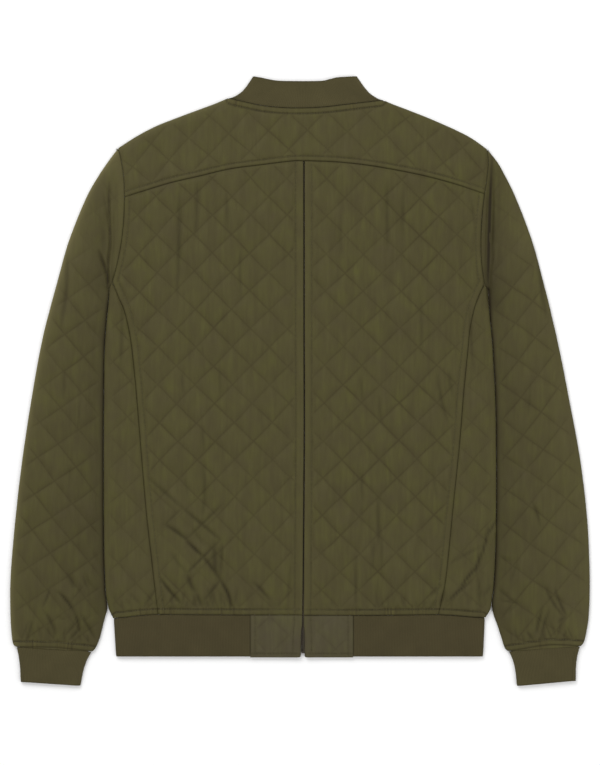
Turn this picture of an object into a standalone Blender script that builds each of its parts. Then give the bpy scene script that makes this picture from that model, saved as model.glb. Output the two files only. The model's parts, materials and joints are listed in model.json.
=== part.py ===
"""Quilted bomber jacket lying flat on its front, back uppermost.

Every cut and sewn piece is its own object.  Plan tables are in millimetres,
across (+X, towards the right as seen from above) and up (+Y, towards the
collar); +Z is away from the surface the jacket lies on.  Meshes are in metres.
The underside is flat at z = 0.  The upper side is quilted in diamonds, and a
panel that turns round a side, a shoulder or a sleeve edge is one bent wall.
"""
import math

import bmesh
import bpy
import numpy as np
from mathutils import Vector
from mathutils.geometry import delaunay_2d_cdt

MM = 0.001

# ---------------------------------------------------------------- cloth sizes
SEAM_GAP = 0.3          # clear gap between two pieces at a seam
CLOTH = 2.1             # wall at a stitch line, and all of the plain underside
INNER_TOP = 3.2         # inside face of the upper layer
STITCH_TOP = 5.4        # outside face of the upper layer on a stitch line
SEAM_DIP = 0.7          # how much lower the cloth is drawn at a seam
PUFF = 2.4              # height of a quilted diamond above its stitch lines
FOLD_RADIUS = 2.9       # half the thickness of the jacket where it folds over
RIB_RADIUS = 2.8        # the same for the knitted rib
RIB_PITCH = 2.4         # one rib and one furrow of the knit
RIB_RELIEF = 0.45       # height of a rib over its furrow
MIN_WALL = 1.2          # least wall left under a crease

# ---------------------------------------------------------------- zip sizes
ZIP_X = 4.4             # the zips' line across
FRONT_SLOT_HALF = 3.3   # half the slot between the two fronts
CHAIN_HALF = 2.9        # half the width of a closed chain
CHAIN_THICK = 1.6
TAPE_WIDTH = 12.0
TAPE_THICK = 0.5
PLACKET = 12.5          # folded edge beside the back zip, to its top-stitching
PLACKET_SLOPE = 6.0     # width of the slope from the placket down to the quilt
PLACKET_RISE = 1.0      # the placket's extra height over the tape below it
HEM_BOTTOM = -345.0
ZIP_LIFT = 3.5          # a zip's foot above the hem's edge
COLLAR_FRONT_TOP = 289.0

# ---------------------------------------------------------------- mesh sizes
CURVE_ERROR = 0.3       # a chord's greatest distance from the true curve
LONGEST_CHORD = 30.0
SNAP = 3.2              # stitch ends nearer than this share one point
PILLOW = 0.27           # half side of a diamond's raised middle, in pitches
EDGE_CLEAR = 1.2        # a stitch line that runs nearer to the edge than this is left out
SHOULDER_BLEND = 40.0   # length over which a fold turns from its end's direction to square
SIDE_BLEND = 30.0       # the same at the side panels' edges
BEYOND = 400.0          # past the jacket, up and down
SAME_POINT = 0.01       # points nearer than this are one
SHARP_ANGLE = 50.0      # degrees

# ---------------------------------------------------------------- plan tables
# Each row is one station on a seam or an edge: (across, up).
NECK_SEAM = [(-90.0, 353.8), (-68.8, 348.8), (-43.8, 343.8), (-12.5, 341.2), (25.0, 342.0),
             (62.5, 346.2), (105.0, 351.2)]
COLLAR_TOP = [(-58.8, 381.2), (-47.5, 379.2), (-33.8, 376.4), (-18.8, 375.2), (23.8, 375.2),
              (37.5, 377.6), (47.5, 379.8), (71.2, 381.2)]
YOKE_SEAM = {
    "left": [(4.2, 275.2), (-12.5, 274.6), (-50.0, 270.0), (-87.5, 265.0), (-125.0, 256.2),
             (-162.5, 247.5), (-200.0, 236.2), (-219.6, 230.0)],
    "right": [(6.2, 275.2), (43.8, 273.8), (81.2, 270.0), (118.8, 263.8), (156.2, 256.2),
              (193.8, 246.2), (230.7, 234.0)],
}
SHOULDER = {
    "left": [(-90.0, 353.8), (-107.5, 346.4), (-130.0, 338.1), (-155.0, 328.8), (-180.0, 318.8),
             (-203.8, 306.4), (-227.5, 291.2)],
    "right": [(105.0, 351.2), (116.2, 346.2), (142.5, 336.2), (170.0, 325.0), (195.0, 313.8),
              (215.0, 303.4), (233.8, 290.0)],
}
ARMHOLE = {
    "left": [(-227.5, 291.2), (-223.6, 275.8), (-220.4, 254.0), (-219.5, 230.0), (-220.5, 201.2),
             (-223.8, 171.2), (-228.8, 146.2), (-234.6, 124.0)],
    "right": [(233.8, 290.0), (235.6, 274.2), (234.2, 255.0), (230.7, 234.0), (227.6, 206.0),
              (226.2, 178.0), (226.8, 150.0), (230.6, 122.0)],
}
SLEEVE_OUTER = {
    "left": [(-227.5, 291.2), (-238.8, 276.2), (-253.8, 253.8), (-268.8, 226.2), (-288.8, 176.2),
             (-303.1, 126.2), (-322.5, 51.2), (-336.2, -23.8), (-347.5, -98.8), (-356.2, -173.8),
             (-362.1, -245.0), (-362.3, -292.0), (-361.0, -315.0), (-359.2, -327.6),
             (-356.0, -332.2)],
    "right": [(233.8, 290.0), (245.0, 276.2), (258.1, 253.8), (271.2, 226.2), (290.0, 176.2),
              (303.8, 126.2), (321.9, 51.2), (336.9, -23.8), (350.6, -98.8), (359.4, -173.8),
              (362.5, -245.0), (361.4, -292.0), (358.4, -314.0), (355.6, -325.6), (351.6, -331.6)],
}
SIDE_EDGE = {      # where body and sleeve touch, then the body alone down to the hem
    "left": [(-238.6, 116.0), (-239.6, 98.0), (-242.0, 75.0), (-244.6, 38.0), (-245.4, -23.8),
             (-245.8, -98.8), (-245.4, -198.8), (-243.6, -258.0), (-241.6, -275.0), (-239.2, -285.4),
             (-236.8, -290.6), (-233.6, -296.6)],
    "right": [(234.4, 114.0), (235.8, 100.0), (238.0, 75.0), (241.2, 40.0), (244.6, -23.8),
              (245.6, -98.8), (245.4, -174.0), (244.2, -224.0), (241.8, -260.0), (239.8, -275.0),
              (238.6, -284.2), (235.6, -290.4), (231.8, -295.6)],
}
SLEEVE_INNER = {   # the same contact line, then the sleeve alone down to the cuff
    "left": [(-238.6, 116.0), (-239.6, 98.0), (-242.0, 75.0), (-244.6, 38.0), (-245.4, -23.8),
             (-245.8, -98.8), (-245.4, -198.8), (-244.0, -258.0), (-242.2, -275.0), (-240.8, -285.8),
             (-242.8, -292.5), (-245.6, -303.0), (-250.0, -320.5), (-254.6, -332.2), (-259.0, -338.2)],
    "right": [(234.4, 114.0), (235.8, 100.0), (238.0, 75.0), (241.2, 40.0), (244.6, -23.8),
              (245.6, -98.8), (245.4, -174.0), (244.6, -224.0), (242.4, -260.0), (240.6, -275.0),
              (240.2, -285.0), (242.0, -292.5), (246.0, -303.4), (251.6, -320.5), (255.6, -333.0),
              (259.4, -337.6)],
}
PRINCESS = {
    "left": [(-234.6, 124.0), (-227.5, 106.0), (-220.0, 88.8), (-213.8, 63.8), (-210.0, 38.8),
             (-205.0, -11.2), (-198.8, -86.2), (-192.5, -161.2), (-186.2, -217.5), (-181.2, -261.2),
             (-177.5, -292.0)],
    "right": [(230.6, 122.0), (223.8, 106.0), (217.5, 88.8), (212.5, 63.8), (210.0, 38.8),
              (205.0, -11.2), (198.8, -86.2), (191.2, -161.2), (186.2, -211.2), (181.2, -255.0),
              (173.0, -292.2)],
}
HEM_SEAM = {       # from the zip out to the side
    "left": [(3.0, -292.6), (-50.0, -292.6), (-110.0, -292.5), (-177.5, -292.0), (-192.0, -292.7),
             (-206.2, -294.0), (-219.0, -295.6), (-233.6, -296.6)],
    "right": [(4.9, -293.0), (70.0, -293.2), (130.0, -292.6), (173.0, -292.2), (190.0, -292.9),
              (203.8, -294.0), (217.0, -295.2), (231.8, -295.6)],
}
HEM_SIDE = {       # outer edge of the hem rib
    "left": [(-233.4, -297.2), (-230.2, HEM_BOTTOM)],
    "right": [(231.6, -296.2), (229.2, HEM_BOTTOM)],
}
TAB_EDGE = {"left": (-61.2, 2.2), "right": (66.8, 6.0)}     # outer edge, edge at the zip
CUFF_SEAM = {      # from the sleeve's outer edge in
    "left": [(-356.0, -332.2), (-342.5, -332.6), (-322.5, -332.8), (-302.5, -333.4), (-282.5, -335.6),
             (-259.0, -338.2)],
    "right": [(351.6, -331.6), (334.5, -330.4), (315.6, -329.8), (303.0, -330.9), (290.4, -332.7),
              (277.8, -335.0), (259.4, -337.6)],
}
CUFF_EDGES = {     # outer edge at seam, at wrist; inner edge at seam, at wrist
    "left": [(-354.4, -333.0), (-349.8, -376.6), (-261.4, -338.8), (-274.2, -381.0)],
    "right": [(350.0, -332.4), (345.4, -375.2), (261.8, -338.2), (270.6, -381.2)],
}
FRONT_NECK = {     # hidden front neckline, from the shoulder to the zip
    "left": [(-90.0, 353.8), (-92.0, 336.0), (-91.0, 315.0), (-84.0, 293.0), (-70.0, 273.0),
             (-50.0, 259.5), (-25.0, 252.5), (1.1, 251.0)],
    "right": [(105.0, 351.2), (104.6, 334.0), (102.0, 315.0), (94.0, 293.0), (79.0, 273.0),
              (59.0, 259.5), (34.0, 252.5), (7.7, 251.0)],
}
FRONT_COLLAR_TOP = {
    "left": [(-58.8, 381.2), (-61.0, 357.0), (-59.5, 335.0), (-53.0, 316.0), (-42.0, 302.5),
             (-28.0, 294.0), (-12.0, 290.0), (1.1, COLLAR_FRONT_TOP)],
    "right": [(71.2, 381.2), (72.6, 357.0), (70.5, 335.0), (63.0, 316.0), (51.5, 302.5),
              (37.0, 294.0), (21.0, 290.0), (7.7, COLLAR_FRONT_TOP)],
}
SIDE_TURN = (9.5, 20.0)     # side panel's turn under, at the armpit and at the hem

# Quilting: (origin x, origin y, across-diagonal x, y, up-diagonal x, y, bow).
# Stitch lines join the ends of the diagonals; bow lowers them by bow * across squared.
QUILT = {
    "back_left": (-62.5, 206.2, 46.8, 0.0, -0.6, 46.8, 0.0),
    "back_right": (80.0, 206.2, 46.8, 0.0, 0.6, 46.8, 0.0),
    "back_yoke": (8.8, 313.8, 48.8, 0.0, 0.0, 47.0, 0.00051),
    "side_left": (-215.0, -45.0, 46.8, -2.0, 3.0, 46.0, 0.0),
    "side_right": (214.0, -52.0, 46.8, 2.0, -3.0, 46.0, 0.0),
    "sleeve_left": (-275.0, -15.0, 47.5, -9.5, 3.4, 45.5, 0.0),
    "sleeve_right": (276.0, -20.0, 47.5, 9.5, -3.4, 45.5, 0.0),
    "hem_tab_left": (-14.0, -318.0, 46.8, 0.0, 0.0, 46.8, 0.0),
    "hem_tab_right": (22.0, -312.0, 46.8, 0.0, 0.0, 46.8, 0.0),
}

# Largest creases of the upper side: (from x, y, to x, y, half width, depth).
CREASES = [
    (-142.5, -198.8, -100.0, -241.2, 9.0, 1.7), (-97.5, -250.0, -82.5, -281.0, 8.0, 1.6),
    (-172.5, -251.0, -155.0, -274.0, 7.0, 1.3), (-140.0, -242.5, -127.5, -276.0, 7.0, 1.2),
    (-152.5, 236.0, -150.0, 106.0, 8.0, 1.5), (-130.0, 250.0, -134.0, 182.0, 7.0, 1.0),
    (97.5, 0.0, 95.0, -223.0, 8.0, 1.4), (118.0, 236.0, 112.0, 160.0, 8.0, 1.2),
    (242.0, -182.0, 227.0, -219.0, 9.0, 1.8), (227.0, -219.0, 185.0, -274.0, 9.0, 1.7),
    (-236.0, 262.0, -238.5, 136.0, 6.0, 2.0), (241.0, 262.0, 235.0, 132.0, 6.0, 2.2),
    (-305.0, -264.0, -285.0, -286.0, 8.0, 1.5), (-285.0, -286.0, -279.0, -311.0, 8.0, 1.5),
    (306.0, -249.0, 325.0, -292.0, 8.0, 1.4), (289.0, -150.0, 301.0, -190.0, 9.0, 1.3),
]

# ---------------------------------------------------------------- materials
COLOURS = {        # linear base colour, roughness, metallic
    "shell": ((0.078, 0.070, 0.030), 0.62, 0.0),
    "rib": ((0.070, 0.057, 0.030), 0.90, 0.0),
    "tape": ((0.030, 0.026, 0.014), 0.85, 0.0),
    "chain": ((0.024, 0.019, 0.016), 0.45, 0.6),
}


def material(name):
    """One Principled BSDF material for each kind of stuff."""
    if name in bpy.data.materials:
        return bpy.data.materials[name]
    colour, roughness, metallic = COLOURS[name]
    made = bpy.data.materials.new(name)
    made.use_nodes = True
    shader = made.node_tree.nodes["Principled BSDF"]
    shader.inputs["Base Color"].default_value = (*colour, 1.0)
    shader.inputs["Roughness"].default_value = roughness
    shader.inputs["Metallic"].default_value = metallic
    made.diffuse_color = (*colour, 1.0)
    return made


# ---------------------------------------------------------------- plane curves
def smooth(rows, steps=12):
    """Catmull-Rom curve through a table's rows."""
    rows = np.array(rows, float)
    ends = np.vstack([2 * rows[0] - rows[1], rows, 2 * rows[-1] - rows[-2]])
    out = []
    for a, b, c, d in zip(ends, ends[1:], ends[2:], ends[3:]):
        for t in np.arange(steps) / steps:
            out.append(0.5 * (2 * b + (c - a) * t + (2 * a - 5 * b + 4 * c - d) * t * t
                              + (3 * b - a - 3 * c + d) * t ** 3))
    out.append(rows[-1])
    return np.array(out)


def thin(points):
    """Keep only the points that a curve needs within CURVE_ERROR."""
    a, b = points[0], points[-1]
    chord = b - a
    length = math.hypot(*chord)
    away = np.abs(chord[0] * (points[:, 1] - a[1]) - chord[1] * (points[:, 0] - a[0])) / length
    middle = int(np.argmax(away))
    if away[middle] < CURVE_ERROR and length <= LONGEST_CHORD:
        return [a, b]
    if away[middle] < CURVE_ERROR:
        middle = len(points) // 2
    return thin(points[:middle + 1])[:-1] + thin(points[middle:])


def curve(rows):
    """A table's rows as the fewest chords that follow the smooth curve."""
    return np.array(thin(smooth(rows)))


def unit(vector):
    return np.array(vector, float) / math.hypot(*vector)


def shares(line):
    """How far along a line each of its points is, from 0 to 1."""
    steps = np.linalg.norm(np.diff(line, axis=0), axis=1)
    return np.concatenate([[0.0], np.cumsum(steps)]) / steps.sum()


def level_at(line, x):
    """How far up a line is at a place across."""
    order = np.argsort(line[:, 0])
    return float(np.interp(x, line[order, 0], line[order, 1]))


def nearest(point, a, b):
    """Place of the point of segment a-b nearest to a point, and its distance."""
    along = b - a
    t = float(np.clip(np.dot(point - a, along) / np.dot(along, along), 0.0, 1.0))
    return t, math.hypot(*(a + t * along - point))


def crossing(a, b, c, d):
    """Where segment a-b crosses c-d, as fractions of both, or None."""
    ab, cd, ac = b - a, d - c, c - a
    cross = ab[0] * cd[1] - ab[1] * cd[0]
    if abs(cross) < 1e-12:
        return None
    t = (ac[0] * cd[1] - ac[1] * cd[0]) / cross
    s = (ac[0] * ab[1] - ac[1] * ab[0]) / cross
    return (t, s) if 0.0 < t < 1.0 and 0.0 <= s < 1.0 else None


# ---------------------------------------------------------------- relief
class Quilt:
    """Diamond stitching in plan: line numbers of a point, and back again."""

    def __init__(self, row):
        self.origin = np.array(row[0:2])
        across, up = np.array(row[2:4]), np.array(row[4:6])
        self.basis = np.column_stack([across, up])
        self.inverse = np.linalg.inv(self.basis)
        self.bow = row[6]

    def lines(self, point):
        lifted = np.array([point[0], point[1] + self.bow * point[0] ** 2])
        a, b = self.inverse @ (lifted - self.origin)
        return a + b, a - b

    def place(self, u, w):
        point = self.origin + self.basis @ np.array([(u + w) / 2, (u - w) / 2])
        return np.array([point[0], point[1] - self.bow * point[0] ** 2])

    def puff(self, point):
        """Height of the padding: none on a line, all of PUFF amid a diamond."""
        inside = min(2 * abs(line - round(line)) for line in self.lines(point))
        return PUFF * (1 - (1 - inside) ** 2)


def crease_depth(point):
    """How far the creases sink the cloth at a point."""
    depth = 0.0
    for x0, y0, x1, y1, half_width, deepest in CREASES:
        t, away = nearest(point, np.array([x0, y0]), np.array([x1, y1]))
        depth = max(depth, deepest * math.exp(-(away / half_width) ** 2))
    return depth


def placket_rise(point):
    """Extra height of the two folded edges beside the back zip."""
    away = abs(point[0] - ZIP_X) - PLACKET
    return PLACKET_RISE * float(np.clip(1 - away / PLACKET_SLOPE, 0.0, 1.0))


# ---------------------------------------------------------------- outlines
class Run:
    """One stretch of an outline: a seam, or an edge that the cloth folds round."""

    def __init__(self, points, edge=None, under=None):
        self.points = np.array(points)
        self.edge = None if edge is None else np.array(edge)
        self.under = self.points if under is None else np.array(under)


class Outline:
    """Closed outline of a flat part of a panel, drawn in by half a seam gap."""

    def __init__(self, runs):
        self.at, self.edge, self.under, self.folds = [], [], [], []
        for run in runs:
            for k in range(len(run.points) - 1):
                self.at.append(run.points[k])
                self.folds.append(run.edge is not None)
                self.edge.append(None if run.edge is None else run.edge[k])
                self.under.append(None if run.edge is None else run.under[k])
        count = len(self.at)
        start = 0
        for run in runs:
            start = (start + len(run.points) - 1) % count
            if run.edge is not None and self.edge[start] is None:
                self.edge[start] = run.edge[-1]
                self.under[start] = run.under[-1]
        self.draw_in()

    def draw_in(self):
        at = np.array(self.at)
        area = np.sum(at[:, 0] * np.roll(at[:, 1], -1) - np.roll(at[:, 0], -1) * at[:, 1])
        turn = 1.0 if area > 0 else -1.0
        ahead = np.roll(at, -1, axis=0) - at
        normals = turn * np.column_stack([-ahead[:, 1], ahead[:, 0]])
        normals /= np.linalg.norm(normals, axis=1)[:, None]
        for i in range(len(at)):
            before, after = normals[i - 1], normals[i]
            shift = SEAM_GAP / 2 * (before + after) / (1 + float(np.dot(before, after)))
            self.at[i] = at[i] + shift
            if self.edge[i] is not None:
                reach = unit(self.under[i] - self.edge[i])
                self.edge[i] = self.edge[i] + shift
                self.under[i] = self.under[i] + shift - SEAM_GAP * reach

    def inside(self, point):
        hits = 0
        for a, b in zip(self.at, self.at[1:] + self.at[:1]):
            if (a[1] > point[1]) != (b[1] > point[1]):
                if point[0] < a[0] + (point[1] - a[1]) / (b[1] - a[1]) * (b[0] - a[0]):
                    hits += 1
        return hits % 2 == 1

    def closest(self, point):
        """Nearest chord, place on it, and distance."""
        ends = self.at[1:] + self.at[:1]
        found = [(*nearest(point, a, b), i) for i, (a, b) in enumerate(zip(self.at, ends))]
        t, away, i = min(found, key=lambda item: item[1])
        return i, t, away


class Stitched:
    """An outline with stitch lines cut to it: stations, inner points and lines."""

    def __init__(self, outline, quilt=None, cross_lines=()):
        self.outline = outline
        self.marks = [(i, 0.0) for i in range(len(outline.at))]
        self.inner, self.links = [], []
        if quilt is not None:
            self.add_quilt(quilt)
        for a, b in cross_lines:
            self.link(np.array(a), np.array(b), None, None)
        self.sort_marks()

    def spot(self, mark):
        i, t = mark
        a, b = self.outline.at[i], self.outline.at[(i + 1) % len(self.outline.at)]
        return a + t * (b - a)

    def attach(self, point):
        """Index of the mark on the outline for a stitch line's end."""
        i, t, _ = self.outline.closest(point)
        place = self.spot((i, t))
        gaps = [math.hypot(*(self.spot(mark) - place)) for mark in self.marks]
        best = int(np.argmin(gaps))
        if gaps[best] < SNAP:
            return ("mark", best)
        self.marks.append((i, t))
        return ("mark", len(self.marks) - 1)

    def link(self, a, b, tag_a, tag_b):
        """Keep the stretches of line a-b that lie inside the outline."""
        at = self.outline.at
        cuts = []
        for c, d in zip(at, at[1:] + at[:1]):
            hit = crossing(a, b, c, d)
            if hit is not None:
                cuts.append(hit[0])
        length = math.hypot(*(b - a))
        stops = [(0.0, tag_a)] if tag_a else []
        for t in sorted(cuts):
            near_a = tag_a is not None and t * length < 1.5 * SNAP
            near_b = tag_b is not None and (1 - t) * length < 1.5 * SNAP
            if not near_a and not near_b:
                stops.append((t, None))
        stops += [(1.0, tag_b)] if tag_b else []
        for (t0, tag0), (t1, tag1) in zip(stops, stops[1:]):
            middle = a + (t0 + t1) / 2 * (b - a)
            if (t1 - t0) * length < 1.5 * SNAP or not self.outline.inside(middle):
                continue
            if self.outline.closest(middle)[2] < EDGE_CLEAR:
                continue
            ends = [tag if tag else self.attach(a + t * (b - a))
                    for t, tag in ((t0, tag0), (t1, tag1))]
            if ends[0] != ends[1]:
                self.links.append(tuple(ends))

    def add_quilt(self, quilt):
        at = np.array(self.outline.at)
        corners = [(x, y) for x in (at[:, 0].min(), at[:, 0].max())
                   for y in (at[:, 1].min(), at[:, 1].max())]
        numbers = np.array([quilt.lines(corner) for corner in corners])
        low = np.floor(numbers.min(axis=0)).astype(int) - 1
        high = np.ceil(numbers.max(axis=0)).astype(int) + 1
        tags = {}
        for u in range(low[0], high[0] + 1):
            for w in range(low[1], high[1] + 1):
                point = quilt.place(u, w)
                if self.outline.closest(point)[2] < SNAP:
                    tags[u, w] = self.attach(point)
                elif self.outline.inside(point):
                    self.inner.append(point)
                    tags[u, w] = ("inner", len(self.inner) - 1)
        for u in range(low[0], high[0] + 1):
            for w in range(low[1], high[1] + 1):
                for other in ((u + 1, w), (u, w + 1)):
                    self.link(quilt.place(u, w), quilt.place(*other), tags.get((u, w)), tags.get(other))
        for u in range(low[0], high[0]):
            for w in range(low[1], high[1]):
                for du, dw in ((0, 0), (1, 1), (1, -1), (-1, 1), (-1, -1)):
                    point = quilt.place(u + 0.5 + du * PILLOW, w + 0.5 + dw * PILLOW)
                    if self.outline.inside(point) and self.outline.closest(point)[2] > SNAP:
                        self.inner.append(point)

    def sort_marks(self):
        """Outline stations in order, each with its fold data, and numbered links."""
        outline = self.outline
        count = len(outline.at)
        order = sorted(range(len(self.marks)), key=lambda k: self.marks[k])
        number = {mark: k for k, mark in enumerate(order)}
        self.ring = [self.spot(self.marks[k]) for k in order]
        self.folds = [outline.folds[self.marks[k][0]] for k in order]
        self.edge, self.under = [], []
        for k in order:
            i, t = self.marks[k]
            j = (i + 1) % count
            for kept, source in ((self.edge, outline.edge), (self.under, outline.under)):
                if t == 0.0:
                    kept.append(source[i])
                elif outline.folds[i]:
                    kept.append(source[i] + t * (source[j] - source[i]))
                else:
                    kept.append(None)
        base = len(self.ring)
        self.lines = [tuple(number[k] if kind == "mark" else base + k for kind, k in link)
                      for link in self.links]


# ---------------------------------------------------------------- walls
class Wall:
    """Collects one closed body, in millimetres, and makes the object."""

    def __init__(self):
        self.points, self.faces = [], []

    def add(self, plan, height):
        self.points.append((plan[0], plan[1], height))
        return len(self.points) - 1

    def quad(self, a, b, c, d):
        self.faces += [(a, b, c), (a, c, d)]

    def rows(self, first, second):
        """Join two rows of equally many points."""
        for k in range(len(first) - 1):
            self.quad(first[k], first[k + 1], second[k + 1], second[k])

    def lace(self, first, second):
        """Join two rows of unlike numbers of points, evenly."""
        along_first = np.linspace(0.0, 1.0, len(first))
        along_second = np.linspace(0.0, 1.0, len(second))
        i = j = 0
        while i < len(first) - 1 or j < len(second) - 1:
            if j == len(second) - 1 or (i < len(first) - 1 and along_first[i + 1] <= along_second[j + 1]):
                self.faces.append((first[i], first[i + 1], second[j]))
                i += 1
            else:
                self.faces.append((first[i], second[j + 1], second[j]))
                j += 1

    def sheet(self, ring, ring_ids, height, inner=(), lines=()):
        """Triangulate the area inside a ring whose own points exist already."""
        count = len(ring)
        coords = [Vector(p) for p in ring] + [Vector(p) for p in inner]
        edges = [(i, (i + 1) % count) for i in range(count)] + list(lines)
        made, _, faces, origins, _, _ = delaunay_2d_cdt(coords, edges, [], 1, 1e-5)
        ids = []
        for vector, origin in zip(made, origins):
            point = np.array(vector)
            known = [k for k in origin if k < count]
            ids.append(ring_ids[known[0]] if known else self.add(point, height(point)))
        self.faces += [tuple(ids[k] for k in face) for face in faces]

    def finish(self, name, stuff):
        """Close, orient and shade the body, and link it to the scene."""
        mesh = bpy.data.meshes.new(name)
        mesh.from_pydata([[value * MM for value in p] for p in self.points], [], self.faces)
        body = bmesh.new()
        body.from_mesh(mesh)
        bmesh.ops.recalc_face_normals(body, faces=body.faces)
        body.to_mesh(mesh)
        body.free()
        mesh.shade_smooth()
        mesh.set_sharp_from_angle(angle=math.radians(SHARP_ANGLE))
        mesh.materials.append(material(stuff))
        made = bpy.data.objects.new(name, mesh)
        bpy.context.collection.objects.link(made)
        return made


def fold_column(wall, edge, at, below, radius, top_ids, low_ids):
    """Points of one section through a fold, outside and inside, top to underside."""
    outer = [top_ids[0]]
    for angle in (45.0, 0.0, -45.0):
        side = at if angle > 0 else below
        depth = radius * (1 - math.cos(math.radians(angle)))
        plan = edge + (side - edge) * depth / radius
        outer.append(wall.add(plan, radius + radius * math.sin(math.radians(angle))))
    outer.append(low_ids[0])
    middle = edge + (below - edge) * CLOTH / radius
    inner = [top_ids[1], wall.add(middle, (INNER_TOP + CLOTH) / 2), low_ids[1]]
    return outer, inner


def fold_stretches(stitched):
    """Index lists of the stations of each fold, in order round the ring."""
    count = len(stitched.ring)
    starts = [i for i in range(count) if stitched.folds[i] and not stitched.folds[i - 1]]
    stretches = []
    for start in starts:
        stretch = [start]
        while stitched.folds[stretch[-1] % count]:
            stretch.append(stretch[-1] + 1)
        stretches.append([i % count for i in stretch])
    return stretches


def panel(name, runs, quilt=None, cross_lines=(), tube=False, radius=FOLD_RADIUS):
    """An upper panel: quilted outside, plain inside, turned under at its folds.

    A tube goes on as a whole lower layer; any other panel ends at its under seam.
    """
    stitched = Stitched(Outline(runs), quilt, cross_lines)
    ring, count = stitched.ring, len(stitched.ring)
    on_fold = [stitched.edge[i] is not None for i in range(count)]

    def inner_height(point):
        return INNER_TOP + (placket_rise(point) if cross_lines else 0.0)

    def outer_height(point):
        level = STITCH_TOP + (placket_rise(point) if cross_lines else 0.0)
        puff = quilt.puff(point) if quilt else 0.0
        if cross_lines:
            puff *= 1 - placket_rise(point) / PLACKET_RISE
        return max(level + puff - crease_depth(point), inner_height(point) + MIN_WALL)

    def rim_height(i):
        if on_fold[i]:
            return 2 * radius
        return STITCH_TOP - SEAM_DIP + (placket_rise(ring[i]) if cross_lines else 0.0)

    wall = Wall()
    top = [wall.add(ring[i], rim_height(i)) for i in range(count)]
    top_in = [wall.add(ring[i], inner_height(ring[i])) for i in range(count)]
    wall.sheet(ring, top, outer_height, stitched.inner, stitched.lines)
    crossed = [line for line in stitched.lines if max(line) < count] if cross_lines else ()
    wall.sheet(ring, top_in, inner_height, (), crossed)
    if tube:
        low = [wall.add(p, 0.0) for p in ring]
        low_in = [wall.add(p, CLOTH) for p in ring]
        wall.sheet(ring, low, None)
        wall.sheet(ring, low_in, None)
    for i in range(count):
        j = (i + 1) % count
        if not stitched.folds[i]:
            wall.quad(top[i], top[j], top_in[j], top_in[i])
            if tube:
                wall.quad(low[i], low[j], low_in[j], low_in[i])
    for stretch in fold_stretches(stitched):
        outers, inners = [], []
        for i in stretch:
            edge, under = stitched.edge[i], stitched.under[i]
            if tube:
                below, low_ids = ring[i], (low[i], low_in[i])
            else:
                below = edge + radius * unit(under - edge)
                low_ids = (wall.add(below, 0.0), wall.add(below, CLOTH))
            outer, inner = fold_column(wall, edge, ring[i], below, radius, (top[i], top_in[i]), low_ids)
            if not tube:
                outer.append(wall.add(under, 0.0))
                inner.append(wall.add(under, CLOTH))
            outers.append(outer)
            inners.append(inner)
        for k in range(len(stretch) - 1):
            wall.rows(outers[k], outers[k + 1])
            wall.rows(inners[k], inners[k + 1])
            if not tube:
                wall.quad(outers[k][-1], outers[k + 1][-1], inners[k + 1][-1], inners[k][-1])
        wall.lace(outers[0], inners[0])
        wall.lace(outers[-1], inners[-1])
    return wall.finish(name, "shell")


def plate(name, stuff, outline, low, high):
    """A plain flat piece between two heights, drawn in by half a seam gap."""
    ring = Outline([Run(outline)]).at
    wall = Wall()
    ids = [[wall.add(p, height) for p in ring] for height in (low, high)]
    for side in ids:
        wall.sheet(ring, side, None)
    wall.rows(ids[0] + ids[0][:1], ids[1] + ids[1][:1])
    return wall.finish(name, stuff)


UP = (0.0, 0.0, 1.0)      # a ribbed section's facing
FLAT = (0.0, 0.0, 0.0)    # the facing of a plain one


def ribbed(first, second, facing, following):
    """Sections from one to just before the next, each rib's crown lifted."""
    a, b, c, d = (np.array(p, float) for p in (*first, *second))
    width = (np.linalg.norm(c - a) + np.linalg.norm(d - b)) / 2
    steps = 1 if facing == FLAT and following == FLAT else 2 * max(1, round(width / RIB_PITCH))
    out = []
    for k in range(steps):
        t = k / steps
        lift = RIB_RELIEF * (k % 2) * (np.array(facing) * (1 - t) + np.array(following) * t)
        out.append((a + (c - a) * t + lift, b + (d - b) * t + lift))
    return out


def band(name, outer, facing, inner, closed=False):
    """A rib strip from matching sections: outer is finely ribbed, inner is plain.

    Each section is a pair of 3-D points, one on each long edge of the strip.
    """
    wall = Wall()
    count = len(outer)
    spans = count if closed else count - 1
    inside = [[wall.add(pair[side][:2], pair[side][2]) for side in (0, 1)] for pair in inner]
    fine = []
    for k in range(spans):
        following = (k + 1) % count
        fine.append([[wall.add(pair[side][:2], pair[side][2]) for side in (0, 1)]
                     for pair in ribbed(outer[k], outer[following], facing[k], facing[following])])
    if not closed:
        fine.append([[wall.add(outer[-1][side][:2], outer[-1][side][2]) for side in (0, 1)]])
    for k in range(spans):
        following = (k + 1) % count
        span = fine[k] + fine[following][:1]
        ends = [inside[k], inside[following]]
        for side in (0, 1):
            wall.lace([pair[side] for pair in span], [pair[side] for pair in ends])
        for pairs in (span, ends):
            wall.rows([pair[0] for pair in pairs], [pair[1] for pair in pairs])
    if not closed:
        for (a, b), (c, d) in ((fine[0][0], inside[0]), (fine[-1][0], inside[-1])):
            wall.quad(a, b, d, c)
    return wall.finish(name, "rib")


# ---------------------------------------------------------------- fold runs
def blend_normals(line, first, last, reach, turn):
    """Inward directions along an edge: square to it, but as given at its ends."""
    lengths = np.concatenate([[0.0], np.cumsum(np.linalg.norm(np.diff(line, axis=0), axis=1))])
    normals = []
    for k, point in enumerate(line):
        along = line[min(k + 1, len(line) - 1)] - line[max(k - 1, 0)]
        square = turn * unit((-along[1], along[0]))
        near_first = max(0.0, 1 - lengths[k] / reach)
        near_last = max(0.0, 1 - (lengths[-1] - lengths[k]) / reach)
        mixed = square * (1 - near_first - near_last) + first * near_first + last * near_last
        normals.append(unit(mixed))
    return np.array(normals)


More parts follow.
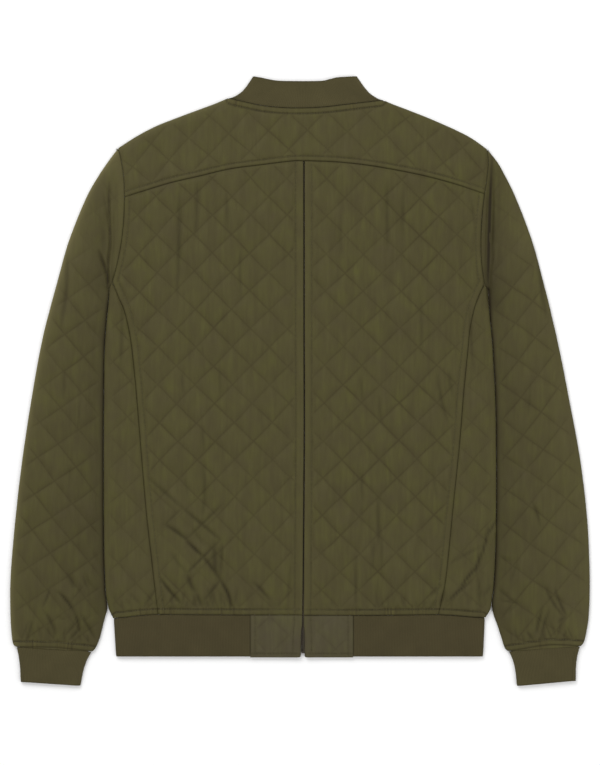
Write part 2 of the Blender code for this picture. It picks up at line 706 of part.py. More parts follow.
def fold_run(line, first, last, turn, under=None):
    """A run whose cloth turns under at a line; the run itself lies one radius in."""
    normals = blend_normals(line, unit(first), unit(last), SHOULDER_BLEND, turn)
    return Run(line + FOLD_RADIUS * normals, edge=line, under=under)


def side_seam(side):
    """The side edge, and the hidden seam that lies under it towards the front."""
    line = curve(SIDE_EDGE[side])
    inward = 1.0 if side == "left" else -1.0
    start = np.array(ARMHOLE[side][-1]) - line[0]
    _, hem = hem_parts(side)
    lengths = np.concatenate([[0.0], np.cumsum(np.linalg.norm(np.diff(line, axis=0), axis=1))])
    reach = np.interp(lengths / lengths[-1], (0.0, 0.1, 1.0), (math.hypot(*start), *SIDE_TURN))
    normals = blend_normals(line, unit(start), unit(hem[-2] - hem[-1]), SIDE_BLEND, inward)
    under = line + normals * reach[:, None]
    under[-1][1] = level_at(hem, under[-1][0])
    return line, normals, under


def shoulder_seam(side):
    """The shoulder fold, and the hidden seam under it where the front begins."""
    line = curve(SHOULDER[side])
    first = np.array(FRONT_NECK[side][1]) - line[0]
    last = np.array(ARMHOLE[side][1]) - line[-1]
    share = np.linspace(0.0, 1.0, len(line))[:, None]
    return line, line + first * (1 - share) + last * share


def hem_parts(side):
    """Hem seam chords: zip to princess seam, and princess seam to the side."""
    rows = HEM_SEAM[side]
    return curve(rows[:4]), curve(rows[3:])


def armhole_parts(side):
    """Armhole chords: shoulder to yoke seam, and yoke seam to armpit."""
    rows = ARMHOLE[side]
    upper = np.vstack([[rows[0]], curve(rows[1:4])])
    return upper, curve(rows[3:])


# ---------------------------------------------------------------- the pieces
def zip_lines(side):
    """Where the back zip's placket ends on a panel, from hem to yoke."""
    turn = -1.0 if side == "left" else 1.0
    return [((ZIP_X + turn * reach, -BEYOND), (ZIP_X + turn * reach, BEYOND))
            for reach in (PLACKET, PLACKET + PLACKET_SLOPE)]


def make_yoke():
    runs = [Run(curve(NECK_SEAM))]
    for side, turn in (("right", -1.0), ("left", 1.0)):
        line, under = shoulder_seam(side)
        along_neck = runs[0].points[-2] if side == "right" else runs[0].points[1]
        at_neck = along_neck - line[0]
        at_arm = np.array(ARMHOLE[side][1]) - line[-1]
        fold = fold_run(line, at_neck, at_arm, turn, under)
        upper, _ = armhole_parts(side)
        seam = curve(YOKE_SEAM[side])
        seam[-1] = upper[-1]
        upper[0] = fold.points[-1]
        if side == "right":
            runs += [fold, Run(upper), Run(seam[::-1])]
        else:
            runs += [Run([runs[-1].points[-1], seam[0]]), Run(seam), Run(upper[::-1]),
                     Run(fold.points[::-1], fold.edge[::-1], fold.under[::-1])]
    neck = runs[0].points
    neck[0] = runs[-1].points[-1]
    neck[-1] = runs[1].points[0]
    panel("back_yoke", runs, Quilt(QUILT["back_yoke"]))


def make_back(side):
    _, lower = armhole_parts(side)
    seam = curve(YOKE_SEAM[side])
    seam[-1] = lower[0]
    hem, _ = hem_parts(side)
    runs = [Run(seam), Run(lower), Run(curve(PRINCESS[side])), Run(hem[::-1]), Run([hem[0], seam[0]])]
    panel("back_" + side, runs, Quilt(QUILT["back_" + side]), zip_lines(side))


def make_side(side):
    line, normals, under = side_seam(side)
    _, hem = hem_parts(side)
    princess = curve(PRINCESS[side])
    inset = line + FOLD_RADIUS * normals
    hem[-1] = inset[-1]
    runs = [Run([princess[0], inset[0]]), Run(inset, line, under), Run(hem[::-1]), Run(princess[::-1])]
    panel("side_" + side, runs, Quilt(QUILT["side_" + side]))


def make_front(side):
    """Hidden front: a plain flat wall from the shoulder seam to the hem."""
    turn = -1.0 if side == "left" else 1.0
    at_zip = ZIP_X + turn * FRONT_SLOT_HALF
    neck = curve(FRONT_NECK[side][1:])
    _, shoulder = shoulder_seam(side)
    upper, lower = armhole_parts(side)
    _, _, seam = side_seam(side)
    inner_hem, outer_hem = hem_parts(side)
    clear = [p for p in outer_hem[1:] if abs(p[0]) < abs(seam[-1][0]) - SNAP]
    hem = np.vstack([inner_hem, *[[p] for p in clear], [seam[-1]]])
    hem[0][0] = at_zip
    parts = [shoulder, upper[1:], lower, seam, hem[::-1], neck[::-1]]
    points = [parts[0][0]]
    for run in parts:
        points += [p for p in run if math.hypot(*(p - points[-1])) > SAME_POINT]
    if math.hypot(*(points[-1] - points[0])) > SAME_POINT:
        points.append(points[0])
    plate("front_" + side, "shell", points, 0.0, CLOTH)


def make_sleeve(side):
    turn = 1.0 if side == "left" else -1.0
    outer = curve(SLEEVE_OUTER[side])
    inner = curve(SLEEVE_INNER[side])
    cuff = curve(CUFF_SEAM[side])
    upper, lower = armhole_parts(side)
    outer_fold = fold_run(outer, upper[1] - upper[0], cuff[1] - cuff[0], turn)
    inner_fold = fold_run(inner, (-turn, 0.0), cuff[-2] - cuff[-1], -turn)
    armhole = np.vstack([upper, lower[1:], [inner_fold.points[0]]])
    armhole[0] = outer_fold.points[0]
    cuff[0], cuff[-1] = outer_fold.points[-1], inner_fold.points[-1]
    runs = [Run(armhole), inner_fold, Run(cuff[::-1]),
            Run(outer_fold.points[::-1], outer_fold.edge[::-1], outer_fold.under[::-1])]
    panel("sleeve_" + side, runs, Quilt(QUILT["sleeve_" + side]), tube=True)


def make_tab(side):
    """Quilted tab in the hem beside the back zip."""
    outer_x, zip_x = TAB_EDGE[side]
    top, bottom = HEM_SEAM[side][1][1], HEM_BOTTOM
    corners = [(zip_x, top), (outer_x, top), (outer_x, bottom), (zip_x, bottom), (zip_x, top)]
    runs = [Run([a, b]) for a, b in zip(corners, corners[1:])]
    panel("hem_tab_" + side, runs, Quilt(QUILT["hem_tab_" + side]), zip_lines(side))


def rib_turn(edge, into_top, into_low, radius=RIB_RADIUS):
    """Sections through a rib's fold: outside with facings, and inside.

    edge is the pair of plan points on the fold's outer line; into_top and
    into_low are, for each of them, the plan directions in which the layers leave it.
    """
    outer, facing, inner = [], [], []
    for angle in (90.0, 45.0, 0.0, -45.0, -90.0):
        across, rise = math.cos(math.radians(angle)), math.sin(math.radians(angle))
        into = into_top if angle > 0 else into_low
        outer.append([(*(p + way * radius * (1 - across)), radius + radius * rise)
                      for p, way in zip(edge, into)])
        lift = (*(-sum(into) / 2 * across), rise)
        facing.append(lift if angle > -45.0 else FLAT)
        reach = radius - (radius - CLOTH) * across
        height = (INNER_TOP + CLOTH + (INNER_TOP - CLOTH) * rise) / 2
        inner.append([(*(p + way * reach), height) for p, way in zip(edge, into)])
    return outer, facing, inner


def make_hem(side):
    """Hem rib: from the tab, round the side, to the front zip."""
    inward = np.array([1.0, 0.0]) if side == "left" else np.array([-1.0, 0.0])
    half = SEAM_GAP / 2
    tab_x = TAB_EDGE[side][0] - inward[0] * half
    front_x = ZIP_X - inward[0] * FRONT_SLOT_HALF
    edge = [np.array(HEM_SIDE[side][0]) - (0.0, half), np.array(HEM_SIDE[side][-1])]
    turn_outer, turn_facing, turn_inner = rib_turn(edge, [inward] * 2, [inward] * 2)
    seam = np.vstack([hem_parts(side)[0], hem_parts(side)[1][1:]])

    def straight(start_x, height):
        """Sections under the hem seam's own points, from start_x to the side."""
        beyond = [p for p in seam if (start_x - p[0]) * inward[0] > 1.0
                  and (p[0] - edge[0][0]) * inward[0] > 2 * RIB_RADIUS]
        return [[(p[0], p[1] - half, height), (p[0], HEM_BOTTOM, height)]
                for p in [(start_x, level_at(seam, start_x))] + beyond]

    crown = straight(tab_x, 2 * RIB_RADIUS - RIB_RELIEF)
    below = straight(front_x, 0.0)[::-1]
    inner = straight(tab_x, INNER_TOP) + turn_inner + straight(front_x, CLOTH)[::-1]
    facing = [UP] * len(crown) + turn_facing + [FLAT] * len(below)
    band("hem_rib_" + side, crown + turn_outer + below, facing, inner)


def make_cuff(side):
    """Cuff: a closed ribbed tube, flattened, that keeps close under the sleeve's curved end."""
    top_out, low_out, top_in, low_in = (np.array(p) for p in CUFF_EDGES[side])
    down = np.array([0.0, -SEAM_GAP])
    inward = np.array([1.0, 0.0]) if side == "left" else np.array([-1.0, 0.0])
    first = rib_turn([top_out + down, low_out], [inward] * 2, [inward] * 2)
    second = rib_turn([top_in + down, low_in], [-inward] * 2, [-inward] * 2)
    seam = [p + down / 2 for p in curve(CUFF_SEAM[side])
            if min(abs(p[0] - top_out[0]), abs(p[0] - top_in[0])) > 2 * RIB_RADIUS]

    def flat(height):
        """Sections under the seam's own points, from the outer edge in."""
        feet = [low_out + (low_in - low_out) * (p[0] - top_out[0]) / (top_in[0] - top_out[0])
                for p in seam]
        return [[(*p, height), (*foot, height)] for p, foot in zip(seam, feet)]

    crown = flat(2 * RIB_RADIUS - RIB_RELIEF)[::-1]
    outer = first[0] + flat(0.0) + second[0][::-1] + crown
    inner = first[2] + flat(CLOTH) + second[2][::-1] + flat(INNER_TOP)[::-1]
    facing = first[1] + [FLAT] * len(seam) + second[1][::-1] + [UP] * len(seam)
    band("cuff_" + side, outer, facing, inner, closed=True)


def make_collar():
    """Stand collar: a rib band run round the neck, folded at both shoulders."""
    half = SEAM_GAP / 2
    outer, facing, inner = [], [], []

    def run(seam, top_rows, low, high, way, step):
        """Sections at the neck seam's own points, clear of the folds at its ends."""
        top = smooth(top_rows)
        seam_shares, top_shares = shares(seam), shares(top)
        made = []
        for point, share in zip(seam, seam_shares):
            if min(np.linalg.norm(point - end) for end in run_ends(seam, way)) < 2 * RIB_RADIUS:
                continue
            above = np.array([np.interp(share, top_shares, top[:, k]) for k in (0, 1)])
            start = point + unit(above - point) * half
            made.append(([(*start, low), (*above, low)], [(*start, high), (*above, high)]))
        for lower, upper in made[::step]:
            outer.append(upper if way == UP else lower)
            inner.append(lower if way == UP else upper)
            facing.append(way)

    def run_ends(seam, way):
        return (seam[0], seam[-1]) if way == UP else (seam[0],)

    def front(side, step):
        seam = np.vstack([[FRONT_NECK[side][0]], curve(FRONT_NECK[side][1:])])
        run(seam, FRONT_COLLAR_TOP[side], 0.0, CLOTH, FLAT, step)

    def turn(side, reverse):
        end, following = (0, 1) if side == "left" else (-1, -2)
        edge = [np.array(NECK_SEAM[end]), np.array(COLLAR_TOP[end])]
        into_back = [unit(np.array(rows[following]) - rows[end]) for rows in (NECK_SEAM, COLLAR_TOP)]
        into_front = [unit(np.array(rows[side][1]) - rows[side][0])
                      for rows in (FRONT_NECK, FRONT_COLLAR_TOP)]
        edge[0] = edge[0] + unit(edge[1] - edge[0]) * (SEAM_GAP + RIB_RELIEF)
        made = rib_turn(edge, into_back, into_front)
        step = -1 if reverse else 1
        outer.extend(made[0][::step])
        facing.extend(made[1][::step])
        inner.extend(made[2][::step])

    front("left", -1)
    turn("left", reverse=True)
    run(curve(NECK_SEAM), COLLAR_TOP, INNER_TOP, 2 * RIB_RADIUS - RIB_RELIEF, UP, 1)
    turn("right", reverse=False)
    front("right", 1)
    band("collar", outer, facing, inner)


def make_zip(name, high_y, chain_base, tape_base):
    """A closed zip: two tapes and the joined chain between the panels."""
    half_gap, low_y = SEAM_GAP / 2, HEM_BOTTOM + ZIP_LIFT
    for side, turn in (("left", -1.0), ("right", 1.0)):
        near, far = ZIP_X + turn * (CHAIN_HALF + half_gap), ZIP_X + turn * TAPE_WIDTH
        plate(f"{name}_tape_{side}", "tape", rectangle(near, low_y, far, high_y),
              tape_base, tape_base + TAPE_THICK)
    plate(name + "_chain", "chain", rectangle(ZIP_X - CHAIN_HALF, low_y, ZIP_X + CHAIN_HALF, high_y),
          chain_base, chain_base + CHAIN_THICK)


def rectangle(x0, y0, x1, y1):
    return [(x0, y0), (x1, y0), (x1, y1), (x0, y1), (x0, y0)]


def main():
    for old in list(bpy.data.objects):
        bpy.data.objects.remove(old, do_unlink=True)
    make_yoke()
    make_collar()
    for side in ("left", "right"):
        make_back(side)
        make_side(side)
        make_front(side)
        make_sleeve(side)
        make_tab(side)
        make_hem(side)
        make_cuff(side)
    front_chain, back_chain = SEAM_GAP, SEAM_GAP + CHAIN_THICK + SEAM_GAP
    make_zip("zip_front", COLLAR_FRONT_TOP - 1.0, front_chain, CLOTH + SEAM_GAP)
    make_zip("zip_back", YOKE_SEAM["left"][0][1] - 0.5, back_chain, INNER_TOP)


main()
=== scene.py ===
"""Quilted bomber jacket laid flat on its front, back uppermost: its cloth, knit, zips and sewing."""

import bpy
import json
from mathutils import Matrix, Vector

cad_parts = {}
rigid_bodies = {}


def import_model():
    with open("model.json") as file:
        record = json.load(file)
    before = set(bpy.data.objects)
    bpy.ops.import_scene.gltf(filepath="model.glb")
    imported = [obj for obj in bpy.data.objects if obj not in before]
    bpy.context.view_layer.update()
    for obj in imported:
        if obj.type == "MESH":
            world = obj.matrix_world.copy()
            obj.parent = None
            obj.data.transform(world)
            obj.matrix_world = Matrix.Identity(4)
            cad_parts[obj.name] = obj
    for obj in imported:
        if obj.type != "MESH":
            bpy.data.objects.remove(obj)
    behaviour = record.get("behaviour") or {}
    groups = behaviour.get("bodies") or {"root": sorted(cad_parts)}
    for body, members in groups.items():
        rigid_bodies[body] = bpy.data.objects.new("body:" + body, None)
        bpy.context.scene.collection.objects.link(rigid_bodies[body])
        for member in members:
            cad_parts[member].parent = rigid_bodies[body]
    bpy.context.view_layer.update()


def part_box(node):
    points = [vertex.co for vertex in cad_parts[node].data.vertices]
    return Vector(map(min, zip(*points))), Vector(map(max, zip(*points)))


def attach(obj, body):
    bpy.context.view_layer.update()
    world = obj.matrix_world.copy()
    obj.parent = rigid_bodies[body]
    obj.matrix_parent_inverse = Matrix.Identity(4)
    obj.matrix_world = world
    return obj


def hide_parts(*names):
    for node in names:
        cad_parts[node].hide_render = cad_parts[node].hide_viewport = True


bl_info = {
    "name": "Quilted Bomber Jacket",
    "version": (1, 0, 0),
    "blender": (4, 5, 0),
    "location": "View3D > Sidebar > Jacket",
    "description": "Makes a quilted jacket, lying flat, around its packed solids",
    "category": "Add Mesh",
}

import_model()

import json
import math

import bmesh
import bpy
import numpy as np
from bpy.props import FloatProperty, FloatVectorProperty, PointerProperty
from mathutils import Vector
from mathutils.bvhtree import BVHTree

MM = 0.001
SIDES = ("left", "right")
INWARD = {"left": 1, "right": -1}      # the way along +X to the middle


def metres(rows):
    """A table in millimetres as an array in metres."""
    return np.array(rows, float) * MM


# ---------------------------------------------------------------- seam tables
# Each row is one station on a seam or an edge, in millimetres: (across, up).
NECK_SEAM = metres([(-90.0, 353.8), (-68.8, 348.8), (-43.8, 343.8), (-12.5, 341.2), (25.0, 342.0),
                    (62.5, 346.2), (105.0, 351.2)])
COLLAR_TOP = metres([(-58.8, 381.2), (-47.5, 379.2), (-33.8, 376.4), (-18.8, 375.2), (23.8, 375.2),
                     (37.5, 377.6), (47.5, 379.8), (71.2, 381.2)])
YOKE_SEAM = {
    "left": metres([(4.2, 275.2), (-12.5, 274.6), (-50.0, 270.0), (-87.5, 265.0), (-125.0, 256.2),
                    (-162.5, 247.5), (-200.0, 236.2), (-219.6, 230.0)]),
    "right": metres([(5.8, 275.2), (43.8, 273.8), (81.2, 270.0), (118.8, 263.8), (156.2, 256.2),
                     (193.8, 246.2), (230.7, 234.0)]),
}
SHOULDER = {
    "left": metres([(-90.0, 353.8), (-107.5, 346.4), (-130.0, 338.1), (-155.0, 328.8),
                    (-180.0, 318.8), (-203.8, 306.4), (-227.5, 291.2)]),
    "right": metres([(105.0, 351.2), (116.2, 346.2), (142.5, 336.2), (170.0, 325.0), (195.0, 313.8),
                     (215.0, 303.4), (233.8, 290.0)]),
}
ARMHOLE = {
    "left": metres([(-227.5, 291.2), (-223.6, 275.8), (-220.4, 254.0), (-219.5, 230.0),
                    (-220.5, 201.2), (-223.8, 171.2), (-228.8, 146.2), (-234.6, 124.0)]),
    "right": metres([(233.8, 290.0), (235.6, 274.2), (234.2, 255.0), (230.7, 234.0), (227.6, 206.0),
                     (226.2, 178.0), (226.8, 150.0), (230.6, 122.0)]),
}
ARM_YOKE_ROW = 3        # the armhole's row at the yoke seam
SLEEVE_OUTER = {
    "left": metres([(-227.5, 291.2), (-238.8, 276.2), (-253.8, 253.8), (-268.8, 226.2),
                    (-288.8, 176.2), (-303.1, 126.2), (-322.5, 51.2), (-336.2, -23.8),
                    (-347.5, -98.8), (-356.2, -173.8), (-362.1, -245.0), (-362.3, -292.0),
                    (-361.0, -315.0), (-359.2, -327.6), (-356.0, -332.2)]),
    "right": metres([(233.8, 290.0), (245.0, 276.2), (258.1, 253.8), (271.2, 226.2), (290.0, 176.2),
                     (303.8, 126.2), (321.9, 51.2), (336.9, -23.8), (350.6, -98.8), (359.4, -173.8),
                     (362.5, -245.0), (361.4, -292.0), (358.4, -314.0), (355.6, -325.6),
                     (351.6, -331.6)]),
}
SHARED_EDGE = {     # rows in millimetres that the side edge and the sleeve's inner edge share
    "left": [(-238.6, 116.0), (-239.6, 98.0), (-242.0, 75.0), (-244.6, 38.0), (-245.4, -23.8),
             (-245.8, -98.8), (-245.4, -198.8), (-243.6, -258.0)],
    "right": [(234.4, 114.0), (235.8, 100.0), (238.0, 75.0), (241.2, 40.0), (244.6, -23.8),
              (245.6, -98.8), (245.4, -174.0), (244.2, -224.0)],
}
SIDE_EDGE = {
    "left": metres([*SHARED_EDGE["left"], (-241.6, -275.0), (-239.2, -285.4), (-236.8, -290.6),
                    (-233.6, -296.6)]),
    "right": metres([*SHARED_EDGE["right"], (241.8, -260.0), (239.8, -275.0), (238.6, -284.2),
                     (235.6, -290.4), (231.8, -295.6)]),
}
SLEEVE_INNER = {
    "left": metres([*SHARED_EDGE["left"], (-241.7, -275.0), (-240.8, -285.8), (-242.8, -292.5),
                    (-245.6, -303.0), (-250.0, -320.5), (-254.6, -332.2), (-259.0, -338.2)]),
    "right": metres([*SHARED_EDGE["right"], (241.9, -260.0), (240.0, -275.0), (240.2, -285.0),
                     (242.0, -292.5), (246.0, -303.4), (251.6, -320.5), (255.6, -333.0),
                     (259.4, -337.6)]),
}
PRINCESS = {
    "left": metres([(-234.6, 124.0), (-227.5, 106.0), (-220.0, 88.8), (-213.8, 63.8), (-210.0, 38.8),
                    (-205.0, -11.2), (-198.8, -86.2), (-192.5, -161.2), (-186.2, -217.5),
                    (-181.2, -261.2), (-177.5, -292.0)]),
    "right": metres([(230.6, 122.0), (223.8, 106.0), (217.5, 88.8), (212.5, 63.8), (210.0, 38.8),
                     (205.0, -11.2), (198.8, -86.2), (191.2, -161.2), (186.2, -211.2),
                     (181.2, -255.0), (173.0, -292.2)]),
}
HEM_SEAM = {
    "left": metres([(3.0, -292.6), (-50.0, -292.6), (-110.0, -292.5), (-177.5, -292.0),
                    (-192.0, -292.7), (-206.2, -294.0), (-219.0, -295.6), (-233.6, -296.6)]),
    "right": metres([(4.6, -293.0), (70.0, -293.2), (130.0, -292.6), (173.0, -292.2),
                     (190.0, -292.9), (203.8, -294.0), (217.0, -295.2), (231.8, -295.6)]),
}
HEM_PRINCESS_ROW = 3    # the hem seam's row at the princess seam
RIB_FOOT, TAB_FOOT = -344.5 * MM, -345.6 * MM
HEM_CORNER = {"left": metres([(-233.2, -296.9), (-230.2, -344.5)]),
              "right": metres([(231.4, -295.8), (229.2, -344.5)])}
TAB_EDGE = {        # outer edge, edge at the zip by the seam, and at the foot
    "left": metres((-62.4, 2.9, 1.0)), "right": metres((66.8, 4.7, 5.8))}
TAB_STITCH = {"left": 6.2 * MM, "right": 6.8 * MM}      # top-stitching beside a tab's outer edge
STITCHED = {        # distance of the top-stitching from each seam, and from the foot of a tab
    "yoke": 6.2 * MM, "neck": 6.9 * MM, "arm": 6.4 * MM, "princess": 7.4 * MM, "hem": 7.0 * MM,
    "cuff": 6.8 * MM, "tab_foot": 4.6 * MM}
HALF_GAP = 0.15 * MM                # half the gap between two cloth pieces at a seam
KNIT_GAP, COLLAR_GAP = 0.25 * MM, 0.3 * MM      # from the shell to the knit, and to the collar
CUFF_SEAM = {
    "left": metres([(-356.0, -332.2), (-342.5, -332.6), (-322.5, -332.8), (-302.5, -333.4),
                    (-282.5, -335.6), (-259.0, -338.2)]),
    "right": metres([(351.6, -331.6), (334.5, -330.4), (315.6, -329.8), (303.0, -330.9),
                     (290.4, -332.7), (277.8, -335.0), (259.4, -337.6)]),
}
CUFF_EDGES = {      # outer edge at the seam and at the wrist, inner edge at the seam and at the wrist
    "left": metres([(-355.0, -333.0), (-349.6, -376.6), (-260.2, -338.9), (-274.4, -381.0)]),
    "right": metres([(351.0, -332.6), (345.4, -375.2), (260.6, -338.2), (270.9, -381.2)]),
}
CUFF_BOW = {"left": metres((1.7, 3.2)), "right": metres((2.6, 3.1))}    # its edges' hollows
FRONT_NECK = {
    "left": metres([(-92.0, 336.0), (-91.0, 315.0), (-84.0, 293.0), (-70.0, 273.0), (-50.0, 259.5),
                    (-25.0, 252.5), (1.1, 251.0)]),
    "right": metres([(104.6, 334.0), (102.0, 315.0), (94.0, 293.0), (79.0, 273.0), (59.0, 259.5),
                     (34.0, 252.5), (7.7, 251.0)]),
}
FRONT_COLLAR_TOP = {
    "left": metres([(-61.0, 357.0), (-59.5, 335.0), (-53.0, 316.0), (-42.0, 302.5), (-28.0, 294.0),
                    (-12.0, 290.0), (1.1, 289.0)]),
    "right": metres([(72.6, 357.0), (70.5, 335.0), (63.0, 316.0), (51.5, 302.5), (37.0, 294.0),
                     (21.0, 290.0), (7.7, 289.0)]),
}
BODY_LINE_ROWS = {"left": 10, "right": 11}      # the sleeve's inner rows that touch the body
ARM_FOLD = {        # the sleeve's fold beside the armhole, whose shade is painted on the cloth next to it
    "left": metres([(-251.0, 250.0), (-247.0, 130.0)]),
    "right": metres([(241.0, 262.0), (238.0, 100.0)])}
SIDE_TURN = metres((9.5, 20.0))     # the side panel's turn under, at the armpit and at the hem
FRONT_ZIP = {"left": 1.1 * MM, "right": 7.7 * MM}
PLACKET = {"left": 9.8 * MM, "right": 8.6 * MM}         # folded edge beside the back zip
ZIP_EDGE = {        # the back panels' edges at the zip, from the yoke to the hem
    "left": metres([(4.2, 275.2), (4.4, 60.0), (4.5, -86.0), (3.0, -292.6)]),
    "right": metres([(5.8, 275.2), (5.9, 60.0), (6.0, -86.0), (4.6, -293.0)])}
ZIP_X = 4.4 * MM

# Quilting in millimetres: (origin x, origin y, across-diagonal x, y, up-diagonal x, y, bow per mm).
QUILT = {
    "back_left": (-62.5, 206.2, 46.8, 0.0, -0.6, 46.8, 0.0),
    "back_right": (80.0, 206.2, 46.8, 0.0, 0.6, 46.8, 0.0),
    "back_yoke": (8.8, 313.8, 48.8, 0.0, 0.0, 47.0, 0.00051),
    "side_left": (-215.0, -45.0, 46.8, -2.0, 3.0, 46.0, 0.0),
    "side_right": (214.0, -52.0, 46.8, 2.0, -3.0, 46.0, 0.0),
    "sleeve_left": (-275.0, -15.0, 47.5, -9.5, 3.4, 45.5, 0.0),
    "sleeve_right": (276.0, -20.0, 47.5, 9.5, -3.4, 45.5, 0.0),
    "hem_tab_left": (-14.0, -318.0, 46.8, 0.0, 0.0, 46.8, 0.0),
    "hem_tab_right": (22.0, -312.0, 46.8, 0.0, 0.0, 46.8, 0.0),
    "front_left": (-70.0, -20.0, 46.8, 0.0, 0.0, 46.8, 0.0),
    "front_right": (78.8, -20.0, 46.8, 0.0, 0.0, 46.8, 0.0),
}

